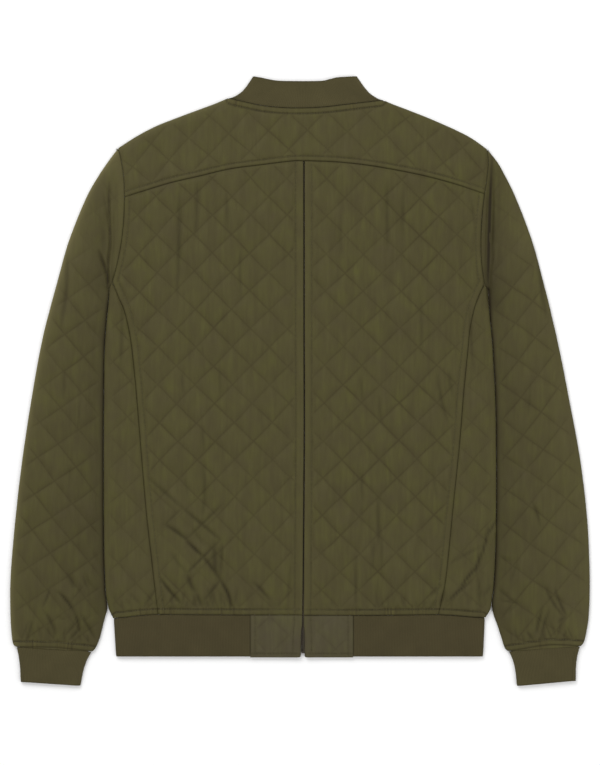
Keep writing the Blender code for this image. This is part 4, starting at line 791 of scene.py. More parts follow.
# ---------------------------------------------------------------- cloth pieces
def make_yoke(sizes, stuff):
    """Yoke, turned under along both shoulders."""
    reach, half = sizes.fold_reach, sizes.level / 2
    folds = {side: shoulder_fold(side, reach) for side in SIDES}
    neck = smooth(NECK_SEAM)
    start, end = folds["left"][1][0], folds["right"][1][0]
    inside = (neck[:, 0] > start[0]) & (neck[:, 0] < end[0])
    neck = np.vstack([start, neck[inside], end])
    arms = {}
    for side in SIDES:
        arm = arm_parts(side)[0][::-1]
        arms[side] = arm[np.linalg.norm(arm - arm[-1], axis=1) > reach]
    tops = [folds["left"][1][::-1], neck, folds["right"][1]]
    seam = np.vstack([smooth(YOKE_SEAM["left"])[::-1], smooth(YOKE_SEAM["right"])])
    far = np.vstack([tops[0], tops[1][1:], tops[2][1:]])
    first = np.vstack([arms["left"], far[:1]])
    last = np.vstack([arms["right"], far[-1:]])
    runs = run_of(far)
    joints = (runs[len(tops[0]) - 1] / runs[-1], runs[len(tops[0]) + len(tops[1]) - 2] / runs[-1])
    across = stations(runs[-1], sizes.grid, "seam", "seam")
    for joint in joints:
        across[np.argmin(np.abs(across - joint))] = joint
    up = stations(90 * MM, sizes.grid, "stitched", "stitched")
    plan = coons(seam, far, first, last, across, up)
    draw_in(plan, ("near", "first", "last"))
    cut = flat_cut(plan, sizes.level, 1)
    edge, under = plan[-1].copy(), plan[-1].copy()
    for side, chosen, span in (("left", across < joints[0] - 1e-9, (0.0, joints[0])),
                               ("right", across > joints[1] + 1e-9, (joints[1], 1.0))):
        share = (across[chosen] - span[0]) / (span[1] - span[0])
        share = 1 - share if side == "left" else share
        tangent_run = run_of(folds[side][1])
        index = np.linspace(0, 1, len(tangent_run))
        place = np.interp(share * tangent_run[-1], tangent_run, index)
        for kept, line in ((edge, folds[side][0]), (under, folds[side][2])):
            kept[chosen] = np.column_stack([np.interp(place, index, line[:, k]) for k in (0, 1)])
    cut = turned_under(cut, edge, under, half, reach, 5)
    points = cut.points()
    middle = amid(points)
    edges = [(seam, STITCHED["yoke"], 0.58 * middle, 0.35 * middle),
             (tops[1], STITCHED["neck"], 0.58, 0.72),
             (first, 0, 0.3, 0), (last, 0, 0.3, 0)]
    to_left, to_right = (distance(points, folds[side][0]) for side in SIDES)
    # Painted highlight along the shoulder folds, where they catch the light, and a slight one over the
    # yoke.
    pale = 0.02 + 0.42 * np.exp(-to_left / (3.2 * MM)) + 0.16 * np.exp(-to_right / (2.6 * MM))
    return finish_cloth("back_yoke", cut, edges, sizes, stuff,
                        plain=0.1 + 0.9 * ease(2 * MM, 12 * MM, np.minimum(to_left, to_right)), pale=pale)


def finish_cloth(name, cut, edges, sizes, stuff, under_edges=(), swell=0.0, dark=0.0,
                 plain=1.0, pale=0.0):
    """swell is extra height, dark a painted shade that the cloth holds beside its seams and folds,
    plain the share of the quilting to show, and the last a painted highlight where edges catch the light.
    """
    shape = cut.at.shape[:2]
    quilt = Quilt(name)
    lines = quilt.lines(cut.flat)
    pale = np.broadcast_to(pale, shape[0] * shape[1])
    points, at_lines = cut.points(), lines.reshape(-1, 2)
    rise = cut.facing[..., 2].ravel()
    high = upper_lift(points, at_lines, quilt, edges, sizes, plain)
    low = under_lift(points, at_lines, quilt, under_edges, sizes)
    share = ease(-0.6, 0.8, rise)
    lift, shown, shade = ((a * share + b * (1 - share)).reshape(shape) for a, b in zip(high, low))
    shade = np.maximum(shade, np.broadcast_to(dark, points.shape[:1]).reshape(shape))
    along, ticks = ladder(points, edges)
    lift += (swell * share).reshape(shape)
    lift *= (1 - 0.9 * (1 - np.abs(rise)) ** 1.3).reshape(shape)
    made = cloth_object(name, cut, lift, lines, sizes.cloth, quilted=shown, shade=shade, along=along,
                        ticks=ticks * share, pale=pale)
    dress(made, stuff, "shell", name)
    declare(cut)
    return made


def make_back(side, sizes, stuff):
    """Back panel, from the zip to the armhole and the princess seam."""
    _, arm = arm_parts(side)
    outer = np.vstack([arm, smooth(PRINCESS[side])[1:]])
    seam = smooth(YOKE_SEAM[side])
    hem = smooth(HEM_SEAM[side][:HEM_PRINCESS_ROW + 1])
    zip_edge = smooth(ZIP_EDGE[side])
    size = abs(seam[0, 0] - outer[:, 0].mean())
    across = stations(size, sizes.grid, "placket", "stitched")
    up = stations(run_of(outer)[-1], sizes.grid, "seam", "stitched")
    plan = coons(seam, hem, zip_edge, outer, across, up)
    draw_in(plan, ("near", "far", "first", "last"))
    cut = flat_cut(plan, sizes.level, 1)
    points = cut.points()
    gathered = ease(15 * MM, 80 * MM, np.abs(points[:, 0]))     # beside the zip the hem lies smooth
    low = by_hem(points)
    middle = amid(points)
    edges = [(seam, 0, 0.58 * middle, 0),
             (hem, STITCHED["hem"], 0.28 + 0.3 * gathered, 0.1 + 0.65 * gathered),
             (zip_edge, PLACKET[side], 0.0, 0.15),
             (smooth(PRINCESS[side]), STITCHED["princess"], 0.42 - 0.3 * low, 0.1),
             (arm, STITCHED["arm"], 0.35, 0.1)]
    swell = sizes.swell * ease(0, 60 * MM, np.minimum(distance(points, outer), distance(points, hem)))
    # Painted highlight on the raised lips beside the zip.
    return finish_cloth("back_" + side, cut, edges, sizes, stuff,
                        swell=swell,
                        pale=0.14 * np.exp(-distance(points, zip_edge) / (2.2 * MM)))


def make_side(side, sizes, stuff):
    """Side panel, turned under along the side edge."""
    edge, tangent, under = side_lines(side, sizes.fold_reach)
    princess = smooth(PRINCESS[side])
    hem = smooth(HEM_SEAM[side][HEM_PRINCESS_ROW:])
    hem = hem[np.abs(hem[:, 0]) < abs(tangent[-1, 0])]
    hem = np.vstack([hem, tangent[-1:]])
    across = stations(run_of(edge)[-1], sizes.grid, "seam", "stitched")
    up = stations(45 * MM, sizes.grid, "seam", "fold")
    plan = coons(princess, tangent, np.array([princess[0], tangent[0]]), hem, across, up)
    draw_in(plan, ("near", "first", "last"))
    cut = flat_cut(plan, sizes.level, 1)
    run = run_of(tangent) / run_of(tangent)[-1]
    edge, under = (np.column_stack([np.interp(across, run, line[:, k]) for k in (0, 1)])
                   for line in (edge, under))
    cut = turned_under(cut, edge, under, sizes.level / 2, sizes.fold_reach, 6)
    points = cut.points()
    low = by_hem(points) if side == "left" else 0.0     # the seam is lost in the gathers
    edges = [(princess, 0, 0.35 - 0.3 * low, 0), (hem, STITCHED["hem"], 0.6, 0.7)]
    rim = distance(points, smooth(SIDE_EDGE[side]))
    return finish_cloth("side_" + side, cut, edges, sizes, stuff,
                        plain=0.05 + 0.65 * ease(3 * MM, 14 * MM, rim))


def make_front(side, sizes, stuff):
    """Front, flat against the floor."""
    _, _, shoulder = shoulder_fold(side, sizes.fold_reach)
    upper, lower = arm_parts(side)
    _, _, side_seam = side_lines(side, sizes.fold_reach)
    neck = smooth(FRONT_NECK[side])
    zip_x = FRONT_ZIP[side]
    top = np.vstack([shoulder[::-1], neck[1:]])
    outer = np.vstack([upper[upper[:, 1] < shoulder[-1, 1]], lower[1:], side_seam[1:]])
    outer = np.vstack([shoulder[-1:], outer])
    hem = np.vstack([smooth(HEM_SEAM[side])[1:], side_seam[-1:]])
    hem = hem[np.abs(hem[:, 0]) <= abs(side_seam[-1, 0])]
    hem = np.vstack([[zip_x, hem[0, 1]], hem])
    zip_edge = np.array([top[-1], hem[0]])
    across = stations(240 * MM, sizes.hidden_grid, "seam", "seam")
    up = stations(570 * MM, sizes.hidden_grid, "seam", "seam")
    plan = coons(top[::-1], hem, zip_edge, outer, across, up)
    draw_in(plan, ("near", "far", "first", "last"))
    cut = flat_cut(plan, 0.0, -1)
    edges = [(line, 0, 0.8, 0) for line in (top, outer, hem, zip_edge)]
    return finish_cloth("front_" + side, cut, (), sizes, stuff, under_edges=edges)


def make_sleeve(side, sizes, stuff):
    """Sleeve: a flattened tube, open along the armhole and closed below it."""
    upper, lower = arm_parts(side)
    seam = np.vstack([upper, lower[1:], SLEEVE_INNER[side][:1]])
    inner_line = np.vstack([seam, smooth(SLEEVE_INNER[side])[1:]])
    outer_line = smooth(SLEEVE_OUTER[side])
    size = run_of(outer_line)[-1]
    shares = stations(size, sizes.grid, "fold", "stitched")
    armpit = run_of(seam)[-1] / run_of(inner_line)[-1]
    shares[0] = 0.004
    shares[np.argmin(np.abs(shares - armpit))] = armpit
    inner, outer = at_shares(inner_line, shares), at_shares(outer_line, shares)
    way = unit(outer - inner)
    tuck = 0.7 * MM * np.exp(-((shares - armpit + 0.006) / 0.009) ** 2)    # under the side panel
    inner = inner + (HALF_GAP - tuck)[:, None] * way
    width = np.linalg.norm(outer - inner, axis=1)
    closed = ease(armpit - 0.012, armpit, shares)[:, None]
    reach = np.minimum(sizes.fold_reach, 0.3 * width)[:, None]
    half, wide = sizes.level / 2, width[:, None]
    quarter = np.radians(np.linspace(0, 90, 6))[None]
    full = np.radians(np.linspace(90, -90, 11))[None]
    fine = np.linspace(0, 0.2, 18)          # close columns for the folds beside the body
    top = np.concatenate([fine[1:], np.linspace(0.2, 1, round(84 * MM / sizes.grid) + 1)[1:-1]])[None]
    low = np.linspace(1, 0, round(105 * MM / sizes.hidden_grid) + 1)[None, 1:-1]
    between = wide - 2 * reach

    def turn(angle, base, sign):
        """Columns round a fold: distance from the inner edge, height, sideways and upward facing."""
        over, rise = np.cos(angle), np.sin(angle)
        return (base + sign * reach * (1 - over), half + half * rise + 0 * reach,
                -sign * over / reach, rise / half + 0 * reach)

    def flat_part(places, height, rise):
        zero = 0 * between * places
        return reach + between * places, zero + height, zero, zero + rise

    parts = [turn(quarter, 0, 1), flat_part(top, 2 * half, 1.0), turn(full, wide, -1),
             flat_part(low, 0.0, -1.0), turn(-quarter[:, ::-1], 0, 1)]
    for index, level, rise in ((0, 2 * half, 1.0), (4, 0.0, -1.0)):
        away, height, side_way, up_way = parts[index]
        parts[index] = (away, height * closed + level * (1 - closed), side_way * closed,
                        up_way * closed + rise * (1 - closed) * 100)
    away, height, side_way, up_way = (np.concatenate([part[k] for part in parts], axis=1)
                                      for k in range(4))
    plan = inner[:, None] + way[:, None] * away[..., None]
    at = np.concatenate([plan, height[..., None]], axis=2)
    facing = unit(np.concatenate([way[:, None] * side_way[..., None], up_way[..., None]], axis=2))
    steps = np.linalg.norm(np.diff(at, axis=1), axis=2)
    run = np.concatenate([np.zeros((len(at), 1)), np.cumsum(steps, axis=1)], axis=1)
    flat = inner[:, None] + way[:, None] * run[..., None]
    cut = Cut(at, facing, flat)
    cuff = smooth(CUFF_SEAM[side])
    edges = [(seam, 0, 0.4, 0), (cuff, STITCHED["cuff"], 0.65, 0.85)]
    points = cut.points()
    # Painted shade: darker beside the body's edge that lies over the sleeve and under the fold beside the
    # armhole, and a little darker towards the cuff.
    beside_body = distance(points, smooth(SLEEVE_INNER[side][:BODY_LINE_ROWS[side]]))
    below = ease(122 * MM, 92 * MM, points[:, 1]) if side == "left" else 1.0
    dark = 0.55 * below * np.exp(-(beside_body / (2.8 * MM)) ** 2)
    dark += 0.30 * np.exp(-beside_body / (8 * MM)) + 0.13 * np.exp(-(beside_body / (50 * MM)) ** 2)
    dark += {"left": 0.05, "right": 0.01}[side] * ease(60 * MM, -200 * MM, points[:, 1])
    beside_fold = distance(points, ARM_FOLD[side])
    dark += {"left": 0.16, "right": 0.30}[side] * np.exp(-(beside_fold / (16 * MM)) ** 2)
    to_edge = distance(points, outer_line)
    high = ease(-40 * MM, 150 * MM, points[:, 1])
    # Painted highlight: the left sleeve's outer edge, brighter higher up, and the strip beside its armhole
    # seam, as lit from the left; the right sleeve a little lighter towards its outer edge.
    if side == "left":
        pale = (0.85 + 0.1 * high) * np.exp(-to_edge / (2.8 * MM))
        pale += (0.07 + 0.15 * high) * np.exp(-to_edge / (18 * MM))
        pale += 0.10 * np.exp(-(distance(points, seam) / (10 * MM)) ** 2)
    else:
        pale = 0.12 * np.exp(-to_edge / (34 * MM))
    rim = np.minimum(to_edge, distance(points, inner_line))
    swell = sizes.swell * ease(0, 45 * MM, np.minimum(rim, distance(points, cuff)))
    return finish_cloth("sleeve_" + side, cut, edges, sizes, stuff,
                        under_edges=edges, swell=swell, dark=dark,
                        plain=0.1 + 0.9 * ease(2 * MM, 14 * MM, rim), pale=pale)


def make_tab(side, sizes, stuff):
    """Quilted tab of the hem beside the back zip, with its lower corner rounded."""
    outer_x, zip_x, foot_x = TAB_EDGE[side]
    top = HEM_SEAM[side][1][1]
    turn = INWARD[side]
    radius = 2.4 * MM
    arc = np.radians(np.linspace(0, 90, 7))
    corner = np.column_stack([foot_x - turn * radius * (1 - np.cos(arc)),
                              TAB_FOOT + radius * (1 - np.sin(arc))])
    near = np.vstack([corner, [[outer_x, TAB_FOOT]]])
    far = np.array([[zip_x, top], [outer_x, top]])
    across = stations(abs(outer_x - zip_x), sizes.grid, "placket", "stitched")
    up = stations(top - TAB_FOOT, sizes.grid, "stitched", "seam")
    opening = [(zip_x + share * (foot_x - zip_x), top + height * (TAB_FOOT - top))
               for share, height in ((0.95, 0.6), (0.7, 0.38), (0.12, 0.22))]
    first = smooth(np.array([near[0], *opening, far[0]]))
    last = np.array([near[-1], far[-1]])
    plan = coons(near, far, first, last, across, up)
    draw_in(plan, ("far", "first", "last"))
    cut = flat_cut(plan, sizes.level, 1)
    edges = [(far, 0, 0.4, 0), (np.vstack([first[::-1], corner[1:]]), PLACKET[side], 0.1, 0.1),
             (last, TAB_STITCH[side], 0.05, 0.1),
             (near[len(corner) - 1:], STITCHED["tab_foot"], 0.0, 0.2)]
    return finish_cloth("hem_tab_" + side, cut, edges, sizes, stuff)


# ---------------------------------------------------------------- knitted pieces
def rib_object(name, seam, edge, facing, closed, sizes, stuff, rests_on, bows=0.0):
    """A doubled knit strip, ribbed outside and rounded over its free edge.

    seam, edge and facing hold one station a row, a quarter of a rib apart; bows bend the ribs.
    """
    thick = sizes.rib_cloth
    long_way = unit(edge - seam)
    face = np.array([0.0, 0.03, 0.1, 0.25, 0.45, 0.65, 0.85, 0.94, 1.0])
    size = np.linalg.norm(edge - seam, axis=1)[:, None]
    middle = (seam + edge) / 2
    steps = np.linalg.norm(np.diff(middle, axis=0), axis=1)
    run = np.concatenate([[0.0], np.cumsum(steps)])
    if closed:
        whole = run[-1] + np.linalg.norm(middle[0] - middle[-1])
        wave = np.cos(2 * math.pi * run / whole * round(whole / sizes.rib_pitch))
    else:
        wave = np.cos(2 * math.pi * run / sizes.rib_pitch)
    relief = sizes.rib_relief * (wave - 1) / 2
    rows, flat = [], []
    for share in face:
        sink = relief - 0.9 * MM * math.exp(-share * 40) - 0.35 * MM * ease(0.9, 1.0, share)
        bent = bows * math.sin(math.pi * share ** 0.75)
        rows.append(seam + (edge - seam) * share + bent + facing * sink[:, None])
        flat.append(np.column_stack([run, size[:, 0] * share]))
    for angle in np.radians((60, 0, -60)):
        bulge = thick / 2 * math.cos(angle)
        depth = thick / 2 * (1 - math.sin(angle))
        rows.append(edge + long_way * (bulge - thick / 2) - facing * depth)
        flat.append(np.column_stack([run, size[:, 0] + bulge]))
    for share in (0.97, 0.5, 0.03, 0.0):
        bent = bows * math.sin(math.pi * share ** 0.75)
        rows.append(seam + (edge - seam) * share + bent - facing * thick)
        flat.append(np.column_stack([run, size[:, 0] * (2 - share)]))
    at, flat = np.array(rows), np.array(flat)
    at[..., 2] = np.maximum(at[..., 2], 0.0)
    rounds, count = at.shape[:2]
    number = np.arange(rounds * count).reshape(rounds, count)
    following = np.roll(number, -1, axis=0)
    ahead = np.roll(number, -1, axis=1)
    across = np.roll(following, -1, axis=1)
    quads = np.stack([number, ahead, across, following], axis=-1)
    quads = (quads if closed else quads[:, :-1]).reshape(-1, 4).tolist()
    if not closed:
        quads += [number[:, 0].tolist(), number[::-1, -1].tolist()]
    mesh = bpy.data.meshes.new(name + "_knit")
    mesh.from_pydata(at.reshape(-1, 3).tolist(), [], quads)
    uv = flat.reshape(-1, 2)
    corners = [v for face_ids in quads for v in face_ids]
    mesh.uv_layers.new(name="cloth").data.foreach_set("uv", uv[corners].astype(np.float32).ravel())
    made = add_object(mesh)
    recalculate(made)
    mesh.shade_smooth()
    mesh.set_sharp_from_angle(angle=math.radians(75))
    dress(made, stuff, "rib", name)
    return made


def quarter_ribs(line, sizes):
    """Shares along a 3-D line, a quarter of a rib apart."""
    count = max(8, round(run_of(line)[-1] / sizes.rib_pitch * 4))
    return np.linspace(0, 1, count + 1)


def half_turn(edge, into_top, into_low, half, reach, steps=9):
    """Rows round a fold from the top to the underside: 3-D points and their facings."""
    points, ways = [], []
    for angle in np.radians(np.linspace(90, -90, steps)):
        over, rise = math.cos(angle), math.sin(angle)
        into = into_top if rise > 0 else into_low
        points.append((*(edge + into * reach * (1 - over)), half + half * rise))
        ways.append((*(-into * over / reach), rise / half))
    return points, ways


def strip_path(spans, sizes, closed):
    """Stations a quarter of a rib apart along matching lists of seam, edge and facing."""
    seam, edge, facing = (np.array([row for span in spans for row in span[k]], float)
                          for k in range(3))
    if closed:
        seam, edge, facing = (np.vstack([a, a[:1]]) for a in (seam, edge, facing))
    middle = (seam + edge) / 2
    keep = np.concatenate([[True], np.linalg.norm(np.diff(middle, axis=0), axis=1) > 1e-7])
    seam, edge, facing, middle = seam[keep], edge[keep], facing[keep], middle[keep]
    run = run_of(middle)
    shares = quarter_ribs(middle, sizes) * run[-1]
    out = [np.column_stack([np.interp(shares, run, a[:, k]) for k in range(3)])
           for a in (seam, edge, facing)]
    if closed:
        out = [a[:-1] for a in out]
    return out[0], out[1], unit(out[2])


def level_span(seam, edge, height, way):
    """A straight stretch of a strip that lies level."""
    count = len(seam)
    raised = [np.column_stack([line, np.full(count, height)]) for line in (seam, edge)]
    return raised[0], raised[1], np.tile((0.0, 0.0, float(way)), (count, 1))


def turn_span(seam_edge, free_edge, into_top, into_low, half, reach):
    """A stretch of a strip that goes round a fold."""
    a, ways = half_turn(seam_edge, into_top[0], into_low[0], half, reach)
    b, _ = half_turn(free_edge, into_top[1], into_low[1], half, reach)
    return a, b, ways


def knit_fold(sizes):
    """Half the height, and the reach, of the knit's rounded folds."""
    return sizes.level / 2 + 0.1 * MM, sizes.fold_reach


def make_hem(side, sizes, stuff):
    """Hem rib of one side, from the tab round the side edge to the front zip."""
    inward = np.array([float(INWARD[side]), 0.0])
    start_x = TAB_EDGE[side][0] - inward[0] * KNIT_GAP
    zip_x = FRONT_ZIP[side]
    corner = HEM_CORNER[side]
    half, reach = knit_fold(sizes)
    seam = smooth(HEM_SEAM[side]) - (0, KNIT_GAP)

    def stretch(from_x):
        share = np.linspace(0, 1, 40)
        top_x = from_x + (corner[0, 0] + inward[0] * reach - from_x) * share
        low_x = from_x + (corner[1, 0] + inward[0] * reach - from_x) * share
        order = np.argsort(seam[:, 0])
        top_y = np.interp(top_x, seam[order, 0], seam[order, 1])
        return np.column_stack([top_x, top_y]), np.column_stack([low_x, np.full(40, RIB_FOOT)])

    top = level_span(*stretch(start_x), 2 * half, 1)
    low = [part[::-1] for part in level_span(*stretch(zip_x), 0.0, -1)]
    turn = turn_span(corner[0], corner[1], [inward] * 2, [inward] * 2, half, reach)
    path = strip_path([top, turn, low], sizes, False)
    name = "hem_rib_" + side
    return rib_object(name, *path, False, sizes, stuff, ["front_" + side])


def make_cuff(side, sizes, stuff):
    """Cuff: a flattened tube, hollowed a little at both edges."""
    top_out, low_out, top_in, low_in = CUFF_EDGES[side]
    inward = np.array([float(INWARD[side]), 0.0])
    half, reach = knit_fold(sizes)
    cuff = smooth(CUFF_SEAM[side]) - (0, KNIT_GAP)
    share = np.linspace(0, 1, 30)[:, None]
    order = np.argsort(cuff[:, 0])
    from_top, to_top = top_out + inward * reach, top_in - inward * reach
    seam = from_top + (to_top - from_top) * share
    seam[:, 1] = np.interp(seam[:, 0], cuff[order, 0], cuff[order, 1])
    from_low, to_low = low_out + inward * reach, low_in - inward * reach
    wrist = from_low + (to_low - from_low) * share
    top = level_span(seam, wrist, 2 * half, 1)
    low = [part[::-1] for part in level_span(seam, wrist, 0.0, -1)]
    inner = turn_span(top_in, low_in, [-inward] * 2, [-inward] * 2, half, reach)
    outer = [part[::-1] for part in
             turn_span(top_out, low_out, [inward] * 2, [inward] * 2, half, reach)]
    path = strip_path([top, inner, low, outer], sizes, True)
    across = (path[0][:, 0] - top_out[0]) / (top_in[0] - top_out[0])
    bows = np.zeros(path[0].shape)
    bows[:, 0] = inward[0] * (CUFF_BOW[side][0] * (1 - across) - CUFF_BOW[side][1] * across)
    name = "cuff_" + side
    return rib_object(name, *path, True, sizes, stuff, ["sleeve_" + side], bows)


def make_collar(sizes, stuff):
    """Stand collar, from the front zip round the neck and back to it."""
    half, reach = knit_fold(sizes)
    neck, top = smooth(NECK_SEAM), smooth(COLLAR_TOP)

    def clear_of_folds(line):
        fold = reach / run_of(line)[-1]
        return at_shares(line, np.linspace(fold, 1 - fold, 60))

    back = level_span(clear_of_folds(neck) + (0, COLLAR_GAP), clear_of_folds(top), 2 * half, 1)
    spans = {}
    for side in SIDES:
        low_seam, low_top = smooth(FRONT_NECK[side]), smooth(FRONT_COLLAR_TOP[side])
        end, beside = (0, 8) if side == "left" else (-1, -9)
        edges = (neck[end] + (0, COLLAR_GAP), top[end])
        into_top = [unit(neck[beside] - neck[end]), unit(top[beside] - top[end])]
        into_low = [unit(low_seam[0] - neck[end]), unit(low_top[0] - top[end])]
        turn = turn_span(*edges, into_top, into_low, half, reach)
        seam, free = (at_shares(line, np.linspace(0, 1, 60)) for line in (low_seam, low_top))
        inwards = unit(free - seam) * COLLAR_GAP
        spans[side] = (turn, level_span(seam + inwards, free, 0.0, -1))
    left_turn, left_low = spans["left"]
    right_turn, right_low = spans["right"]
    path = strip_path([[part[::-1] for part in left_low], [part[::-1] for part in left_turn], back,
                       right_turn, right_low], sizes, False)
    bows = np.zeros(path[0].shape)
    for end, turn in ((0, 1), (-1, -1)):
        fold = top[end] - neck[end]
        inward = unit(turn * np.array([fold[1], -fold[0]]))
        away = np.linalg.norm(((path[0] + path[1]) / 2)[:, :2] - (top[end] + neck[end]) / 2, axis=1)
        bows[:, :2] += inward * 5.4 * MM * np.exp(-(away / (26 * MM)) ** 2)[:, None]
    return rib_object("collar", *path, False, sizes, stuff, ["front_left", "front_right"], bows)


# ---------------------------------------------------------------- zips
TAPE_ACROSS = metres((0.0, 0.3, 0.8, 1.3, 1.8, 3.0, 5.0, 7.0, 9.5, 11.9))   # from the teeth outward
TAPE_CLOTH = 0.45 * MM
TOOTH_NECK, TOOTH_HEAD, TOOTH_EDGE = 2.2 * MM, 0.9 * MM, 0.16 * MM
TOOTH_PLACE, CORD_PLACE = 1.25 * MM, 2.2 * MM       # from the zip's middle line
STOP_SIZE, STOP_ABOVE = metres((5.2, 4.4)), 3.2 * MM        # foot stop, and its height over the foot


def make_tape(name, side, stuff):
    """Woven zip tape: a thin strip, slightly waved, with a thicker cord beside the teeth."""
    low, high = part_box(name)
    turn, near = (1, high.x) if side == "left" else (-1, low.x)
    across = near - turn * TAPE_ACROSS
    up = np.linspace(low.y, high.y, 160)
    plan = np.stack(np.meshgrid(across, up), axis=-1)
    level = (low.z + high.z) / 2
    back = name.startswith("zip_back")
    cut = flat_cut(plan, level, 1 if back else -1)
    reach = np.abs(plan[..., 0] - near)
    lift = 0.25 * MM * np.exp(-((reach - 0.8 * MM) / (0.7 * MM)) ** 2)
    lift += 0.08 * MM * noise(plan[..., 1] / (9 * MM), reach / (6 * MM), 31)
    made = cloth_object(name, cut, lift, np.full(cut.flat.shape, 0.5), TAPE_CLOTH)
    dress(made, stuff, "tape", name)
    declare(cut)
    return made


def block(size, centre):
    """A cube primitive of a given size at a given place, with its size in its mesh."""
    bpy.ops.object.select_all(action="DESELECT")
    bpy.ops.mesh.primitive_cube_add(size=1.0, location=centre, scale=size)
    bpy.ops.object.transform_apply(location=False, rotation=False, scale=True)
    return bpy.context.object


def tooth(turn, centre, pitch, thick):
    """One zip tooth: a narrow neck, drawn out into a wider head that locks, with its edges eased."""
    made = block((TOOTH_NECK, pitch * 0.46, thick), centre)
    for face in made.data.polygons:
        face.select = face.normal.x * turn > 0.9
    bpy.ops.object.mode_set(mode="EDIT")
    bpy.ops.mesh.select_mode(type="FACE")
    bpy.ops.mesh.extrude_region_move(TRANSFORM_OT_translate={"value": (turn * TOOTH_HEAD, 0.0, 0.0)})
    bpy.ops.transform.resize(value=(1.0, 1.35, 0.8), center_override=centre)
    bpy.ops.mesh.select_all(action="SELECT")
    bpy.ops.mesh.bevel(offset=TOOTH_EDGE, segments=1, affect="EDGES")
    bpy.ops.mesh.normals_make_consistent(inside=False)
    bpy.ops.object.mode_set(mode="OBJECT")
    return made


def make_chain(name, sizes, stuff):
    """Two interlocked rows of teeth on their cords, with a stop at the foot."""
    low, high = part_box(name)
    level, thick = (low.z + high.z) / 2, (high.z - low.z) * 0.92
    pitch = sizes.tooth_pitch
    foot = low.y + STOP_ABOVE
    count = int((high.y - foot) / pitch) - 1
    made = []
    for turn, start in ((1, 0.5), (-1, 1.0)):
        row = tooth(turn, (ZIP_X - turn * TOOTH_PLACE, foot + pitch * start, level), pitch, thick)
        repeat = row.modifiers.new("Teeth", "ARRAY")
        repeat.count, repeat.use_relative_offset, repeat.use_constant_offset = count, False, True
        repeat.constant_offset_displace = (0.0, pitch, 0.0)
        made.append(row)
        bpy.ops.object.select_all(action="DESELECT")
        bpy.ops.mesh.primitive_cylinder_add(
            vertices=8, radius=thick * 0.42, depth=high.y - foot, scale=(1.0, 0.8, 1.0),
            location=(ZIP_X - turn * CORD_PLACE, (high.y + foot) / 2, level),
            rotation=(math.pi / 2, 0, 0))
        made.append(bpy.context.object)
    made.append(block((*STOP_SIZE, thick), (ZIP_X, foot, level)))
    for piece, width in ((made[1], 0.15 * MM), (made[3], 0.15 * MM), (made[4], 0.4 * MM)):
        bevel = piece.modifiers.new("Edges", "BEVEL")
        bevel.width, bevel.segments, bevel.angle_limit = width, 2, math.radians(60)
    for piece in made:
        apply_modifiers(piece)
    for piece in made:
        piece.select_set(True)
    bpy.context.view_layer.objects.active = made[0]
    bpy.ops.object.join()
    bpy.ops.object.transform_apply(location=True, rotation=True, scale=True)
    chain = bpy.context.object
    chain.name = chain.data.name = name + "_teeth"
    chain.data.shade_flat()
    dress(chain, stuff, "chain", name)
    return chain


# ---------------------------------------------------------------- sewing
def stitch_rows(name, lines, piece, sizes, stuff):
    """Top-stitching: short raised stitches along plan lines, laid on a finished piece."""
    mesh = piece.data
    tree = BVHTree.FromPolygons([v.co for v in mesh.vertices], [p.vertices for p in mesh.polygons])
    radius = sizes.thread / 2
    points, faces = [], []
    high = Vector((0, 0, 0.1))
    for line in lines:
        run = run_of(line)
        count = int(run[-1] / sizes.stitch)
        for k in range(count):
            shares = (k + np.array([0.12, 0.3, 0.7, 0.88])) / count
            plan = at_shares(line, shares)
            spots = []
            for (x, y), sink, size in zip(plan, (-0.7, 0.35, 0.35, -0.7), (0.5, 1.0, 1.0, 0.5)):
                hit = tree.ray_cast(Vector((x, y, 0)) + high, Vector((0, 0, -1)))[0]
                if hit is None:
                    break
                spots.append((hit + Vector((0, 0, radius * sink)), size))
            if len(spots) < 4:
                continue
            ahead = (spots[-1][0] - spots[0][0]).normalized()
            side = ahead.cross(Vector((0, 0, 1))).normalized()
            rise = side.cross(ahead)
            base = len(points)
            for spot, size in spots:
                for a, b in ((1, 0), (0, 1), (-1, 0), (0, -1)):
                    points.append(spot + (side * a + rise * b) * radius * size)
            for ring in range(3):
                for j in range(4):
                    a, b = base + ring * 4 + j, base + ring * 4 + (j + 1) % 4
                    faces.append((a, b, b + 4, a + 4))
            faces += [tuple(base + j for j in (3, 2, 1, 0)), tuple(base + 12 + j for j in range(4))]
    made_mesh = bpy.data.meshes.new(name)
    made_mesh.from_pydata([tuple(p) for p in points], [], faces)
    made = add_object(made_mesh)
    recalculate(made)
    made.data.shade_smooth()
    made.data.materials.append(stuff)
    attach(made, "root")
    return made


def beside(line, away, trim=0.0):
    """A line moved sideways, and shortened at both ends."""
    moved = line + square_to(line, 1) * away
    run = run_of(moved)[-1]
    return at_shares(moved, np.linspace(trim / run, 1 - trim / run, 200))


